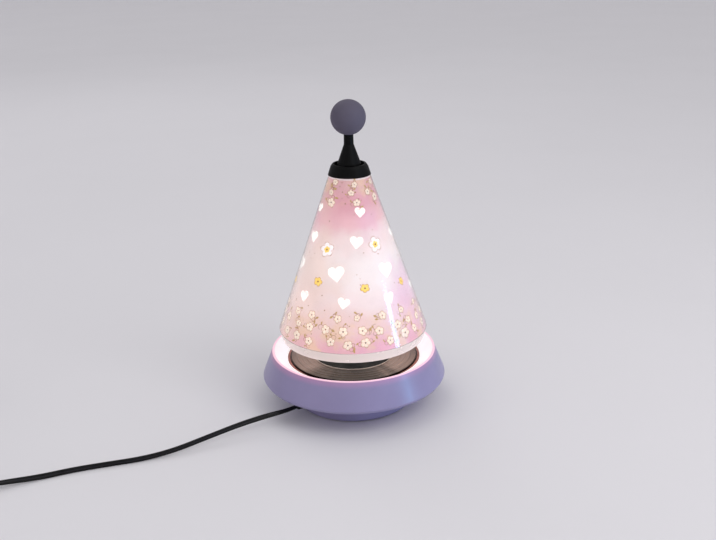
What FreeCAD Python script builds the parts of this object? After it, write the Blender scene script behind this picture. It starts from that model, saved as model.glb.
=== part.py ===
import FreeCAD, Part
import math
import os
import re
import Sketcher

# A child's table lantern. A halogen capsule lamp stands in a plastic base with a metal dish,
# and its rising warm air turns a printed cone that hangs on a needle point over the lamp.
# Millimetres, +Z up. The origin is on the table, under the middle of the base.

Vector = FreeCAD.Vector
UP = Vector(0, 0, 1)

# Driving sizes, each one a cell of the sheet. Angles are in degrees.
SIZES = {
    # Top shell of the base
    "skirt_radius": 100.0,
    "skirt_low": 28.0,
    "widest_height": 31.0,
    "skirt_lip": 2.0,
    "rim_radius": 88.6,
    "rim_rise": 10.7,
    "rim_width": 1.8,
    "wall": 2.4,
    "step_radius": 73.0,
    "shelf_height": 49.0,
    "step_rise": 2.0,
    "shelf_hole": 30.0,
    "rim_round": 0.6,
    "fine_round": 0.4,
    "edge_round": 1.6,
    # Bottom shell, feet and the screws that hold the shells together
    "drum_radius": 64.0,
    "drum_low": 1.0,
    "flange_low": 29.0,
    "flange_gap": 0.4,
    "post_inset": 14.0,
    "post_radius": 4.5,
    "post_join": 20.0,
    "post_count": 3,
    "foot_inset": 12.0,
    "foot_radius": 6.0,
    "foot_recess": 1.2,
    "foot_gap": 0.1,
    "screw_radius": 1.5,
    "screw_gap": 0.2,
    "screw_head_radius": 2.8,
    "screw_head": 2.2,
    "screw_length": 16.0,
    "screw_web": 6.0,
    # Metal dish and black lamp platform
    "dish_radius": 69.1,
    "dish_flange": 72.2,
    "dish_rise": 2.4,
    "dish_hole": 43.2,
    "sheet_metal": 0.8,
    "dish_lip": 0.9,
    "bead_radius": 52.0,
    "bead_pitch": 5.0,
    "bead_rise": 0.35,
    "bead_width": 2.4,
    "platform_radius": 42.6,
    "platform_rise": 3.0,
    "platform_drop": 5.0,
    "platform_gap": 0.4,
    "platform_screw_ring": 36.0,
    "platform_screw_grip": 2.2,
    # Threaded rod, its nuts and sleeve, and the socket on top
    "rod_radius": 5.0,
    "rod_bore": 3.3,
    "rod_gap": 0.1,
    "rod_tail": 6.0,
    "nut_flats": 14.0,
    "nut_thick": 3.5,
    "sleeve_radius": 7.0,
    "sleeve_length": 42.0,
    "bracket_plate": 1.0,
    "bracket_space": 7.5,
    "bracket_half": 10.0,
    "bracket_side": 8.0,
    "socket_radius": 9.0,
    "socket_height": 10.0,
    "socket_screw_place": 6.0,
    "socket_screw_radius": 1.2,
    "socket_head_radius": 2.2,
    "socket_head": 1.8,
    "pin_place": 2.0,
    "pin_radius": 0.35,
    "contact_radius": 1.2,
    "contact_length": 7.0,
    # Capsule lamp
    "bulb_seat": 0.5,
    "bulb_radius": 4.6,
    "bulb_glass_wall": 1.0,
    "bulb_length": 24.5,
    "pinch_length": 6.0,
    "pinch_wide": 8.6,
    "pinch_thick": 3.8,
    "pin_length": 7.5,
    "filament_height": 16.5,
    "filament_radius": 0.7,
    # Wire bail and the needle on top of it
    "bail_place": 22.0,
    "bail_wire_radius": 1.2,
    "bail_tail": 3.0,
    "bail_shoulder": 168.0,
    "clip_radius": 4.0,
    "clip_thick": 0.8,
    "ferrule_radius": 3.0,
    "ferrule_foot": 2.8,
    "ferrule_top": 7.0,
    "ferrule_gap": 0.3,
    "needle_radius": 1.2,
    "needle_tip": 276.0,
    "needle_point": 4.5,
    "needle_foot": 2.0,
    # Bearing cup that turns on the point
    "cup_radius": 3.4,
    "cup_bore": 1.8,
    "cup_below": 10.0,
    "cup_above": 4.0,
    "point_gap": 0.06,
    "cup_gap": 0.3,
    # Turbine wheel
    "hub_radius": 6.0,
    "hub_below": 12.0,
    "hub_height": 13.5,
    "hub_spigot": 3.0,
    "hub_spigot_wall": 1.2,
    "wheel_rim_radius": 16.8,
    "wheel_rim_wall": 1.0,
    "wheel_inset": 1.6,
    "wheel_height": 9.9,
    "blade_count": 12,
    "blade_thick": 0.8,
    "blade_chord": 9.0,
    "blade_tilt": 40.0,
    "blade_root": 5.0,
    # Collar, tower and ball
    "collar_radius": 22.2,
    "collar_height": 11.2,
    "collar_waist": 19.4,
    "collar_slope": 2.7,
    "collar_mouth": 17.4,
    "collar_rise": 0.2,
    "collar_sleeve": 1.4,
    "collar_sleeve_tail": 1.5,
    "collar_groove_drop": 6.2,
    "tower_radius": 12.2,
    "tower_height": 19.8,
    "tower_wall": 1.5,
    "tower_roof": 8.5,
    "neck_radius": 4.9,
    "neck_length": 9.8,
    "peg_radius": 2.5,
    "peg_length": 8.2,
    "peg_gap": 0.1,
    "ball_radius": 18.0,
    "ball_rise": 17.7,
    # Printed cone and the clear ring at its foot
    "cone_low_radius": 79.8,
    "cone_height": 171.5,
    "cone_top_radius": 19.93,
    "cone_drop": 6.7,
    "cone_wall": 0.64,
    "film_wall": 0.3,
    "film_gap": 0.06,
    "ring_height": 10.9,
    "ring_low_radius": 76.9,
    "ring_wall": 1.6,
    "ring_lip": 1.4,
    "ring_lip_thick": 1.2,
    "ring_upstand": 6.0,
    # Parts on the cord's way in
    "cord_radius": 2.7,
    "bush_angle": -140.0,
    "bush_height": 14.0,
    "bush_radius": 5.0,
    "bush_tip_radius": 3.7,
    "bush_flange": 7.0,
    "bush_flange_thick": 1.6,
    "bush_tail": 5.0,
    "bush_length": 16.0,
    "clamp_inset": 14.0,
    "inner_cord_tail": 10.0,
    "clamp_length": 8.0,
    "clamp_half": 11.0,
    "clamp_low": 14.6,
    "clamp_top": 19.0,
    "clamp_screw_place": 7.6,
    "clamp_screw_radius": 1.25,
    "clamp_screw_depth": 14.0,
    "pad_top": 12.4,
    "block_inset": 11.0,
    "block_length": 16.0,
    "block_half": 9.0,
    "block_height": 12.0,
    "block_wire_place": 4.5,
    "block_wire_height": 6.0,
    "block_hole": 1.6,
    "grub_inset": 0.7,
    "grub_slot": 0.6,
    "wire_radius": 0.9,
    "core_bend": 3.5,
    "lead_out": 10.0,
    "lead_turn": 2.0,
    "lead_climb": 8.0,
    "lead_entry": 6.0,
    # In-line switch
    "switch_x": -383.0,
    "switch_y": -187.0,
    "switch_turn": 195.0,
    "switch_length": 64.0,
    "switch_width": 26.0,
    "switch_height": 14.0,
    "switch_split": 6.0,
    "switch_wall": 1.8,
    "switch_corner": 8.0,
    "rocker_half": 11.0,
    "rocker_side": 4.6,
    "rocker_pivot": 10.5,
    "rocker_top": 15.4,
    "rocker_dip": 1.0,
    "rocker_low": 7.4,
    "rocker_tilt": 8.0,
    "rocker_gap": 1.0,
    "rocker_side_gap": 0.3,
    "rocker_pin_radius": 1.0,
    "rocker_pin_gap": 0.05,
    "ear_thick": 1.6,
    "ear_half": 2.6,
    "switch_post": 3.5,
    "switch_screw_inset": 5.0,
    "switch_head_radius": 2.2,
    "switch_head": 1.4,
    "switch_seat": 2.0,
    "plate_rise": 0.4,
    "plate_thick": 0.8,
    "plate_start": 2.5,
    "plate_end": 12.0,
    "plate_half": 3.0,
    "cord_stub": 6.0,
    # Plug-in transformer
    "transformer_x": -478.0,
    "transformer_y": -67.0,
    "transformer_turn": 90.0,
    "transformer_length": 74.0,
    "transformer_width": 46.0,
    "transformer_height": 40.0,
    "transformer_split": 26.0,
    "transformer_wall": 2.2,
    "transformer_corner": 6.0,
    "plug_place": 52.0,
    "plug_half": 9.5,
    "plug_radius": 2.0,
    "plug_length": 19.0,
    "plug_foot": 1.2,
    "plug_seat": 0.4,
    "transformer_post": 4.2,
    "transformer_screw_inset": 6.6,
    "transformer_seat": 5.0,
    "core_length": 48.0,
    "core_width": 38.0,
    "core_thick": 16.0,
    "core_limb": 8.0,
    "winding_gap": 0.4,
    "relief_radius": 5.0,
    "relief_flange": 6.2,
    "relief_flange_thick": 1.6,
    "relief_length": 24.0,
    # Coil of the cord that is put away
    "coil_outer": 41.0,
    "coil_turns": 6,
    "coil_gap": 0.5,
    "coil_y": -136.6,
}

# Places worked out from the sizes: first the base, which builds on its shelf and its drum, then
# the shade, which hangs on the needle's point
PLACES = {
    "rim_height": "shelf_height + rim_rise",
    "step_height": "shelf_height + step_rise",
    "dish_top": "shelf_height + dish_rise",
    "platform_top": "shelf_height + platform_rise",
    "platform_low": "shelf_height - platform_drop",
    "rod_low": "platform_low - rod_tail",
    "bail_low": "platform_low - bail_tail",
    "sleeve_top": "platform_top + sleeve_length",
    "post_ring": "drum_radius - post_inset",
    "feet_ring": "drum_radius - foot_inset",
    "bush_inner": "drum_radius - bush_tail",
    "bush_tip": "drum_radius + bush_length",
    "clamp_place": "drum_radius - clamp_inset",
    "inner_cord_end": "clamp_place - inner_cord_tail",
    "block_outer": "inner_cord_end - block_inset",
    "block_inner": "block_outer - block_length",
    "cup_low": "needle_tip - cup_below",
    "cup_top": "needle_tip + cup_above",
    "hub_top": "needle_tip - hub_below",
    "hub_low": "hub_top - hub_height",
    "wheel_top": "hub_top - wheel_inset",
    "wheel_low": "wheel_top - wheel_height",
    "collar_top": "hub_top + collar_rise",
    "collar_low": "collar_top - collar_height",
    "collar_waist_height": "collar_top - collar_slope",
    "collar_sleeve_low": "collar_low - collar_sleeve_tail",
    "collar_groove": "collar_top - collar_groove_drop",
    "tower_top": "collar_top + tower_height",
    "tower_cavity": "tower_top - tower_roof",
    "neck_top": "tower_top + neck_length",
    "ball_centre": "neck_top + ball_rise",
    "cone_top": "collar_top - cone_drop",
    "cone_low": "cone_top - cone_height",
    "ring_low": "cone_low - ring_height",
}

# The cord's route outside the lamp, from the bush to the switch
RUN_ROUTE = [
    (-92.0, -69.8, 13.9),
    (-118.0, -83.2, 12.6),
    (-150.0, -102.0, 8.9),
    (-181.5, -120.3, 4.5),
    (-211.0, -131.6, 2.7),
    (-243.0, -139.8, 2.7),
    (-274.0, -148.6, 2.7),
    (-303.0, -160.5, 2.7),
]
RUN_FIRST = 13.0
RUN_LAST = 22.0

# From the switch round to the coil
LINK_ROUTE = [
    (-443.4, -196.5, 2.9),
    (-459.4, -188.3, 2.7),
    (-471.5, -174.9, 2.7),
    (-478.0, -158.1, 2.7),
]
LINK_FIRST = 14.0

# From the coil to the transformer
TAIL_ROUTE = [(-478.8, -111.5, 7.9)]
TAIL_ENDS = 7.0

doc = FreeCAD.newDocument("TableLantern")
sheet = doc.addObject("Spreadsheet::Sheet", "Sizes")
for row, (alias, number) in enumerate(SIZES.items(), start=1):
    sheet.set(f"A{row}", alias)
    sheet.set(f"B{row}", str(number))
    sheet.setAlias(f"B{row}", alias)
doc.recompute()

pieces = []


# Small tools that the sections below share


def spelled(text):
    """The expression with each worked-out place written as the sizes that it comes from."""
    return re.sub(
        r"[a-z][a-z_]+", lambda m: f"({spelled(PLACES[m[0]])})" if m[0] in PLACES else m[0], text
    )


def bound(text):
    """The expression with each size's name pointed at the sheet."""
    return re.sub(
        r"[a-z][a-z_]+", lambda m: "Sizes." + m[0] if m[0] in SIZES else m[0], spelled(text)
    )


def value(text):
    """What an expression is worth in the sheet."""
    return float(sheet.evalExpression(spelled(text)))


def keep(label, thing, placement=None):
    """Give a finished piece its name and, where it is turned or moved whole, its placement."""
    thing.Label = label
    if placement:
        thing.Placement = placement
    pieces.append(thing)
    return thing


def outline(sketch, corners):
    """A closed outline. A corner is (across, up) or, where it is rounded, (across, up, radius)."""
    count = len(corners)
    spots = [Vector(value(c[0]), value(c[1]), 0) for c in corners]
    radii = [value(c[2]) if len(c) == 3 else 0.0 for c in corners]
    starts, ends, arcs = [], [], {}
    for i, spot in enumerate(spots):
        into = (spot - spots[i - 1]).normalize()
        out = (spots[(i + 1) % count] - spot).normalize()
        if not radii[i]:
            starts.append(spot)
            ends.append(spot)
            continue
        left = into.x * out.y - into.y * out.x > 0
        reach = radii[i] * math.tan(into.getAngle(out) / 2)
        first, last = spot - into * reach, spot + out * reach
        side = Vector(-into.y, into.x, 0) * (radii[i] if left else -radii[i])
        centre = first + side
        angles = [math.atan2(p.y - centre.y, p.x - centre.x) for p in (first, last)]
        circle = Part.Circle(centre, UP, radii[i])
        arcs[i] = (Part.ArcOfCircle(circle, *(angles if left else angles[::-1])), left)
        starts.append(last)
        ends.append(first)
    for i in range(count):
        sketch.addGeometry(Part.LineSegment(starts[i], ends[(i + 1) % count]))
    for i, corner in enumerate(corners):
        before = (i - 1) % count
        geometry, point = i, 1
        if i in arcs:
            arc = sketch.addGeometry(arcs[i][0])
            geometry = sketch.addGeometry(Part.Point(spots[i]), True)
            first, last = (1, 2) if arcs[i][1] else (2, 1)
            sketch.addConstraint(Sketcher.Constraint("Tangent", before, 2, arc, first))
            sketch.addConstraint(Sketcher.Constraint("Tangent", i, 1, arc, last))
            sketch.addConstraint(Sketcher.Constraint("PointOnObject", geometry, 1, before))
            sketch.addConstraint(Sketcher.Constraint("PointOnObject", geometry, 1, i))
            radius = sketch.addConstraint(Sketcher.Constraint("Radius", arc, radii[i]))
            sketch.setExpression(f"Constraints[{radius}]", bound(corner[2]))
        else:
            sketch.addConstraint(Sketcher.Constraint("Coincident", before, 2, i, 1))
        for kind, axis, text, number in (
            ("DistanceX", -2, corner[0], spots[i].x),
            ("DistanceY", -1, corner[1], spots[i].y),
        ):
            if text == "0":
                sketch.addConstraint(Sketcher.Constraint("PointOnObject", geometry, point, axis))
                continue
            at = sketch.addConstraint(
                Sketcher.Constraint(kind, -1, 1, geometry, point, number)
            )
            sketch.setExpression(f"Constraints[{at}]", bound(text))


def sketched(body, role, corners):
    """A sketch of the outline on one of the body's own origin planes."""
    sketch = body.newObject("Sketcher::SketchObject", body.Name + "_outline")
    plane = [p for p in body.Origin.OriginFeatures if p.Role == role][0]
    sketch.AttachmentSupport = (plane, [""])
    sketch.MapMode = "FlatFace"
    outline(sketch, corners)
    return sketch


def turned(name, corners):
    """A solid of revolution about Z, from its half section as (radius, height) corners."""
    body = doc.addObject("PartDesign::Body", name)
    turn = body.newObject("PartDesign::Revolution", name + "_turn")
    turn.Profile = sketched(body, "XZ_Plane", corners)
    turn.ReferenceAxis = (turn.Profile[0], ["V_Axis"])
    turn.Angle = 360
    body.Tip = turn
    return body


def slab(name, corners, low, high):
    """A flat plate with the given outline, from height low to height high."""
    body = doc.addObject("PartDesign::Body", name)
    sketch = sketched(body, "XY_Plane", corners)
    sketch.setExpression("AttachmentOffset.Base.z", bound(low))
    pad = body.newObject("PartDesign::Pad", name + "_pad")
    pad.Profile = sketch
    pad.setExpression("Length", bound(f"({high}) - ({low})"))
    body.Tip = pad
    return body


def put(thing, x, y, z, rotation=None):
    """Place a primitive, its base bound to the sheet."""
    if rotation:
        thing.Placement = FreeCAD.Placement(Vector(), rotation)
    for axis, text in zip("xyz", (x, y, z)):
        thing.setExpression(f"Placement.Base.{axis}", bound(text))
    return thing


LYING = FreeCAD.Rotation(Vector(0, 1, 0), 90)
SIDEWAYS = FreeCAD.Rotation(Vector(1, 0, 0), -90)


def rod(name, radius, low, high, x="0", y="0"):
    """An upright cylinder from height low to height high."""
    cylinder = doc.addObject("Part::Cylinder", name)
    cylinder.setExpression("Radius", bound(radius))
    cylinder.setExpression("Height", bound(f"({high}) - ({low})"))
    return put(cylinder, x, y, low)


def lying_rod(name, radius, start, end, y="0", z="0"):
    """A cylinder along X."""
    cylinder = doc.addObject("Part::Cylinder", name)
    cylinder.setExpression("Radius", bound(radius))
    cylinder.setExpression("Height", bound(f"({end}) - ({start})"))
    return put(cylinder, start, y, z, LYING)


def block(name, x, y, z):
    """A box between two x, two y and two z values."""
    box = doc.addObject("Part::Box", name)
    for side, (low, high) in zip(("Length", "Width", "Height"), (x, y, z)):
        box.setExpression(side, bound(f"({high}) - ({low})"))
    return put(box, x[0], y[0], z[0])


def fused(name, things):
    join = doc.addObject("Part::MultiFuse", name)
    join.Shapes = things
    join.Refine = True
    return join


def cut(name, base, tools):
    """The base without the tools."""
    result = doc.addObject("Part::Cut", name)
    result.Base = base
    result.Tool = tools[0] if len(tools) == 1 else fused(name + "_tools", tools)
    result.Refine = True
    return result


def group(name, things):
    """Like pieces as one group of separate solids."""
    compound = doc.addObject("Part::Compound", name)
    compound.Links = things
    return compound


def ring(radius, angle):
    """The x and y of a point on a circle, as expressions."""
    return f"({radius}) * cos(({angle}) * 1 deg)", f"({radius}) * sin(({angle}) * 1 deg)"


def copies(name, thing, spots, placement=None):
    """Copies of one piece, each moved by its (x, y, z) expressions, as one group."""
    links = []
    for k, spot in enumerate(spots):
        link = doc.addObject("App::Link", f"{name}_{k + 1}")
        link.LinkedObject = thing
        for axis, text in zip("xyz", spot):
            link.setExpression(f"Placement.Base.{axis}", bound(text))
        links.append(link)
    return keep(name, group(name, links), placement)


def screw(name, radius, head_radius, head, length, slot="0.6"):
    """A round-head screw that points up: its head is under height 0, with a cross recess."""
    blank = turned(
        name + "_blank",
        [
            ("0", f"-({head})"),
            (head_radius, f"-({head})", "0.5"),
            (head_radius, "0"),
            (radius, "0"),
            (radius, length, "0.5"),
            ("0", length),
        ],
    )
    arm = f"({head_radius}) * 0.6"
    depth = (f"-({head}) - 0.1", f"-({head}) * 0.45")
    one = block(name + "_slot_x", (f"-{arm}", arm), (f"-{slot} / 2", f"{slot} / 2"), depth)
    two = block(name + "_slot_y", (f"-{slot} / 2", f"{slot} / 2"), (f"-{arm}", arm), depth)
    return cut(name, blank, [one, two])


def flipped(name, thing):
    """The same piece upside down."""
    link = doc.addObject("App::Link", name + "_link")
    link.LinkedObject = thing
    link.Placement = FreeCAD.Placement(Vector(), FreeCAD.Rotation(Vector(1, 0, 0), 180))
    return group(name, [link])


def route(points):
    """A wire of straight runs joined by tangent arcs, and the radii of its arcs."""
    points = [Vector(*p) for p in points]
    edges, radii, at = [], [], points[0]
    for before, corner, after in zip(points, points[1:], points[2:]):
        into, out = corner - before, after - corner
        reach = 0.45 * min(into.Length, out.Length)
        into.normalize()
        out.normalize()
        turn = into.getAngle(out)
        radius = reach / math.tan(turn / 2)
        first, last = corner - into * reach, corner + out * reach
        centre = corner + (out - into).normalize() * (radius / math.cos(turn / 2))
        middle = centre + (corner - centre).normalize() * radius
        edges.append(Part.LineSegment(at, first).toShape())
        edges.append(Part.Arc(first, middle, last).toShape())
        radii.append(radius)
        at = last
    edges.append(Part.LineSegment(at, points[-1]).toShape())
    return Part.Wire(edges), radii


def swept(wire, start, direction, radius, label):
    """A round tube along a wire, with its volume set against its section times its length."""
    section = Part.Wire(Part.Circle(start, direction, radius).toShape())
    solid = wire.makePipeShell([section], True, False)
    share = solid.Volume / (math.pi * radius**2 * wire.Length)
    print(f"{label}: length {wire.Length:.1f}, volume share {share:.4f}")
    return solid


def tube(label, points, radius):
    """A cord's or wire's stretch as a plain tube."""
    wire, radii = route(points)
    start, towards = Vector(*points[0]), Vector(*points[1])
    solid = swept(wire, start, towards - start, radius, label)
    print(f"{label}: radii {[round(r, 1) for r in radii]}")
    feature = doc.addObject("Part::Feature", label)
    feature.Shape = solid
    return feature


def turned_about_z(x, y, angle):
    angle = math.radians(angle)
    return x * math.cos(angle) - y * math.sin(angle), x * math.sin(angle) + y * math.cos(angle)


bush_turn = FreeCAD.Placement(Vector(), FreeCAD.Rotation(UP, value("bush_angle")))

# Top shell: skirt, rim, the bowl's slope and the shelf that carries the dish and the lamp

POSTS = [f"bush_angle + 60 + {k} * 360 / post_count" for k in range(int(SIZES["post_count"]))]
FEET = [f"bush_angle + {k} * 120" for k in range(3)]
shelf_under = "shelf_height - wall"

shell = turned(
    "top_shell_blank",
    [
        ("rim_radius", "rim_height", "rim_round"),
        ("skirt_radius", "widest_height", "edge_round"),
        ("skirt_radius - skirt_lip", "skirt_low", "rim_round"),
        ("skirt_radius - skirt_lip - wall", "skirt_low"),
        ("skirt_radius - wall", "widest_height + 0.2 * wall"),
        ("rim_radius - 0.9 * wall", "rim_height - 1.25 * wall"),
        ("step_radius + wall", "step_height - 0.6 * wall"),
        ("step_radius + wall", shelf_under),
        ("shelf_hole", shelf_under),
        ("shelf_hole", "shelf_height"),
        ("step_radius", "shelf_height"),
        ("step_radius", "step_height", "rim_round"),
        ("rim_radius - rim_width", "rim_height", "rim_round"),
    ],
)
bosses, pilots = [], []
for k, angle in enumerate(POSTS):
    x, y = ring("post_ring", angle)
    bosses.append(rod(f"boss_{k}", "post_radius", "post_join", shelf_under, x, y))
    pilots.append(
        rod(f"pilot_{k}", "screw_radius", "post_join", "post_join + screw_length - screw_web", x, y)
    )
for k in range(3):
    x, y = ring("platform_screw_ring", f"bush_angle + {k} * 120")
    pilots.append(
        rod(f"shelf_hole_{k}", "screw_radius + screw_gap", shelf_under, "shelf_height", x, y)
    )
keep("top_shell", cut("top_shell", fused("top_shell_solid", [shell] + bosses), pilots))

# Bottom shell: the drum the lamp stands on, with the flange that closes the skirt

floor_top = "drum_low + wall"
drum = turned(
    "bottom_shell_blank",
    [
        ("0", "drum_low"),
        ("drum_radius", "drum_low", "edge_round"),
        ("drum_radius", "flange_low"),
        ("skirt_radius - skirt_lip - wall - flange_gap", "flange_low"),
        ("skirt_radius - skirt_lip - wall - flange_gap", "flange_low + wall"),
        ("drum_radius - wall", "flange_low + wall"),
        ("drum_radius - wall", floor_top),
        ("0", floor_top),
    ],
)
web_low = "post_join - screw_web"
posts, holes = [], []
for k, angle in enumerate(POSTS):
    x, y = ring("post_ring", angle)
    posts.append(rod(f"post_{k}", "post_radius", floor_top, "post_join", x, y))
    holes.append(rod(f"post_hole_{k}", "screw_radius + screw_gap", web_low, "post_join", x, y))
    holes.append(
        rod(f"post_recess_{k}", "screw_head_radius + 2 * screw_gap", "drum_low", web_low, x, y)
    )
for k, angle in enumerate(FEET):
    x, y = ring("feet_ring", angle)
    holes.append(
        rod(f"foot_seat_{k}", "foot_radius + foot_gap", "drum_low", "drum_low + foot_recess", x, y)
    )
pad = block(
    "clamp_pad",
    ("clamp_place - clamp_length / 2 - 1", "clamp_place + clamp_length / 2 + 1"),
    ("-clamp_half - 1", "clamp_half + 1"),
    (floor_top, "pad_top"),
)
pad_groove = lying_rod(
    "pad_groove", "cord_radius", "inner_cord_end", "drum_radius - wall", z="bush_height"
)
pad_holes = [
    rod(
        f"pad_hole_{s}", "clamp_screw_radius", "clamp_top - clamp_screw_depth", "pad_top", "clamp_place",
        f"{s} * clamp_screw_place",
    )
    for s in (-1, 1)
]
swung_pad = cut("swung_pad", pad, [pad_groove] + pad_holes)
swung_pad.Placement = bush_turn
bush_hole = lying_rod(
    "bush_hole", "bush_radius", "drum_radius - 2 * wall", "drum_radius + wall", z="bush_height"
)
block_middle = "(block_inner + block_outer) / 2"
block_pilot = rod("block_pilot", "screw_radius", "drum_low + wall / 3", floor_top, block_middle)
swung_holes = fused("swung_holes", [bush_hole, block_pilot])
swung_holes.Placement = bush_turn
bottom = cut("bottom_shell", fused("bottom_solid", [drum, swung_pad] + posts), holes + [swung_holes])
keep("bottom_shell", bottom)

feet = [
    rod(f"foot_{k}", "foot_radius", "0", "drum_low + foot_recess", *ring("feet_ring", angle))
    for k, angle in enumerate(FEET)
]
keep("rubber_feet", group("rubber_feet", feet))

housing_screw = screw(
    "housing_screw", "screw_radius", "screw_head_radius", "screw_head", "screw_length - 0.5"
)
copies("housing_screws", housing_screw, [(*ring("post_ring", a), web_low) for a in POSTS])

# Dish: pressed sheet with a foot flange on the shelf, three fine rings and a lip round its hole


def bead(k):
    """One pressed ring in the dish's upper face."""
    middle = f"bead_radius + {k} * bead_pitch"
    return [
        (f"{middle} - bead_width / 2", "dish_top"),
        (middle, "dish_top + bead_rise"),
        (f"{middle} + bead_width / 2", "dish_top"),
    ]


dish = turned(
    "reflector_dish",
    [
        ("dish_hole", "dish_top - sheet_metal"),
        ("dish_hole", "dish_top + dish_lip", "sheet_metal / 4"),
        ("dish_hole + sheet_metal", "dish_top + dish_lip", "sheet_metal / 4"),
        ("dish_hole + sheet_metal", "dish_top"),
        *bead(0),
        *bead(1),
        *bead(2),
        ("dish_radius", "dish_top", "sheet_metal / 2"),
        ("dish_radius", "shelf_height + sheet_metal"),
        ("dish_flange", "shelf_height + sheet_metal"),
        ("dish_flange", "shelf_height"),
        ("dish_radius - sheet_metal", "shelf_height"),
        ("dish_radius - sheet_metal", "dish_top - sheet_metal"),
    ],
)
keep("reflector_dish", dish)

# Black platform that carries the socket's rod and the two legs of the bail

platform = turned(
    "platform_blank",
    [
        ("rod_radius + rod_gap", "platform_low"),
        ("shelf_hole - platform_gap", "platform_low"),
        ("shelf_hole - platform_gap", "shelf_height"),
        ("platform_radius", "shelf_height"),
        ("platform_radius", "platform_top", "rim_round"),
        ("rod_radius + rod_gap", "platform_top"),
    ],
)
grip_top = "shelf_height + platform_screw_grip"
platform_holes = [
    rod(
        f"platform_pilot_{k}", "screw_radius", "shelf_height", grip_top,
        *ring("platform_screw_ring", f"bush_angle + {k} * 120"),
    )
    for k in range(3)
] + [
    rod(f"leg_hole_{s}", "bail_wire_radius", "platform_low", "platform_top", f"{s} * bail_place")
    for s in (-1, 1)
]
keep("lamp_platform", cut("lamp_platform", platform, platform_holes))

platform_screw = screw(
    "platform_screw", "screw_radius", "screw_head_radius", "screw_head",
    "wall + platform_screw_grip - 0.3",
)
copies(
    "platform_screws", platform_screw,
    [(*ring("platform_screw_ring", f"bush_angle + {k} * 120"), shelf_under) for k in range(3)],
)

# Hollow threaded rod, clamped by a nut under the platform and one inside the socket's bracket

bracket_low = "sleeve_top"
bracket_inside = "sleeve_top + bracket_plate"
bracket_roof = "sleeve_top + bracket_plate + bracket_space"
socket_low = "sleeve_top + 2 * bracket_plate + bracket_space"
socket_top = f"{socket_low} + socket_height"

rod_tube = turned(
    "threaded_rod",
    [
        ("rod_bore", "rod_low", "0.3"),
        ("rod_radius", "rod_low", "0.3"),
        ("rod_radius", f"{bracket_inside} + nut_thick + 0.5", "0.3"),
        ("rod_bore", f"{bracket_inside} + nut_thick + 0.5", "0.3"),
    ],
)
keep("threaded_rod", rod_tube)

nut_corner = "nut_flats / 2 / cos(30 deg)"
nut = cut(
    "rod_nut",
    slab("nut_hexagon", [ring(nut_corner, f"{k} * 60 + 15") for k in range(6)], "0", "nut_thick"),
    [rod("nut_bore", "rod_radius", "-1", "nut_thick + 1")],
)
copies("rod_nuts", nut, [("0", "0", "platform_low - nut_thick"), ("0", "0", bracket_inside)])

sleeve = turned(
    "stem_sleeve",
    [
        ("rod_radius + 2 * rod_gap", "platform_top"),
        ("sleeve_radius", "platform_top", "fine_round"),
        ("sleeve_radius", "sleeve_top", "fine_round"),
        ("rod_radius + 2 * rod_gap", "sleeve_top"),
    ],
)
keep("stem_sleeve", sleeve)

# Steel bracket, bent like a C, with the ceramic socket screwed on its roof

bracket_x = ("-bracket_half", "bracket_half")
bracket_y = ("-bracket_side", "bracket_side")
bracket_blank = fused(
    "bracket_blank",
    [
        block("bracket_floor", bracket_x, bracket_y, (bracket_low, bracket_inside)),
        block("bracket_top", bracket_x, bracket_y, (bracket_roof, socket_low)),
        block(
            "bracket_back",
            ("-bracket_half", "-bracket_half + bracket_plate"),
            bracket_y,
            (bracket_low, socket_low),
        ),
    ],
)
bracket_holes = [
    rod("bracket_rod_hole", "rod_radius + rod_gap", bracket_low, bracket_inside),
    rod("bracket_wire_hole", "pin_place + 2 * contact_radius", bracket_roof, socket_low),
] + [
    rod(
        f"bracket_screw_hole_{s}", "socket_screw_radius", bracket_roof, socket_low,
        y=f"{s} * socket_screw_place",
    )
    for s in (-1, 1)
]
keep("socket_bracket", cut("socket_bracket", bracket_blank, bracket_holes))

contact_low = f"{socket_low} + 0.5"
contact_top = f"{contact_low} + contact_length"
socket_cuts = []
for s in (-1, 1):
    x = f"{s} * pin_place"
    y = f"{s} * socket_screw_place"
    socket_cuts += [
        rod(f"contact_pocket_{s}", "contact_radius + 0.05", socket_low, contact_top, x),
        rod(f"pin_entry_{s}", "pin_radius + 0.25", contact_top, socket_top, x),
        rod(f"socket_screw_hole_{s}", "socket_screw_radius + 0.15", socket_low, socket_top, y=y),
        rod(
            f"socket_screw_seat_{s}", "socket_head_radius + 0.2",
            f"{socket_top} - socket_head", socket_top, y=y,
        ),
    ]
socket_blank = turned(
    "socket_blank",
    [
        ("0", socket_low),
        ("socket_radius", socket_low),
        ("socket_radius", socket_top, "0.8"),
        ("0", socket_top),
    ],
)
keep("lamp_socket", cut("lamp_socket", socket_blank, socket_cuts))

contact = turned(
    "socket_contact",
    [
        ("pin_radius + 0.05", "0"),
        ("contact_radius", "0", "0.2"),
        ("contact_radius", "contact_length", "0.2"),
        ("pin_radius + 0.05", "contact_length"),
    ],
)
copies(
    "socket_contacts", contact,
    [("-pin_place", "0", contact_low), ("pin_place", "0", contact_low)],
)
socket_screw = flipped(
    "socket_screw_down",
    screw(
        "socket_screw", "socket_screw_radius", "socket_head_radius", "socket_head - 0.2",
        "socket_height - socket_head + bracket_plate + 1", "0.5",
    ),
)
copies(
    "socket_screws", socket_screw,
    [("0", f"{s} * socket_screw_place", f"{socket_top} - socket_head") for s in (-1, 1)],
)

# Halogen capsule: glass with a pinched foot, two pins, and a filament across the top

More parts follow.
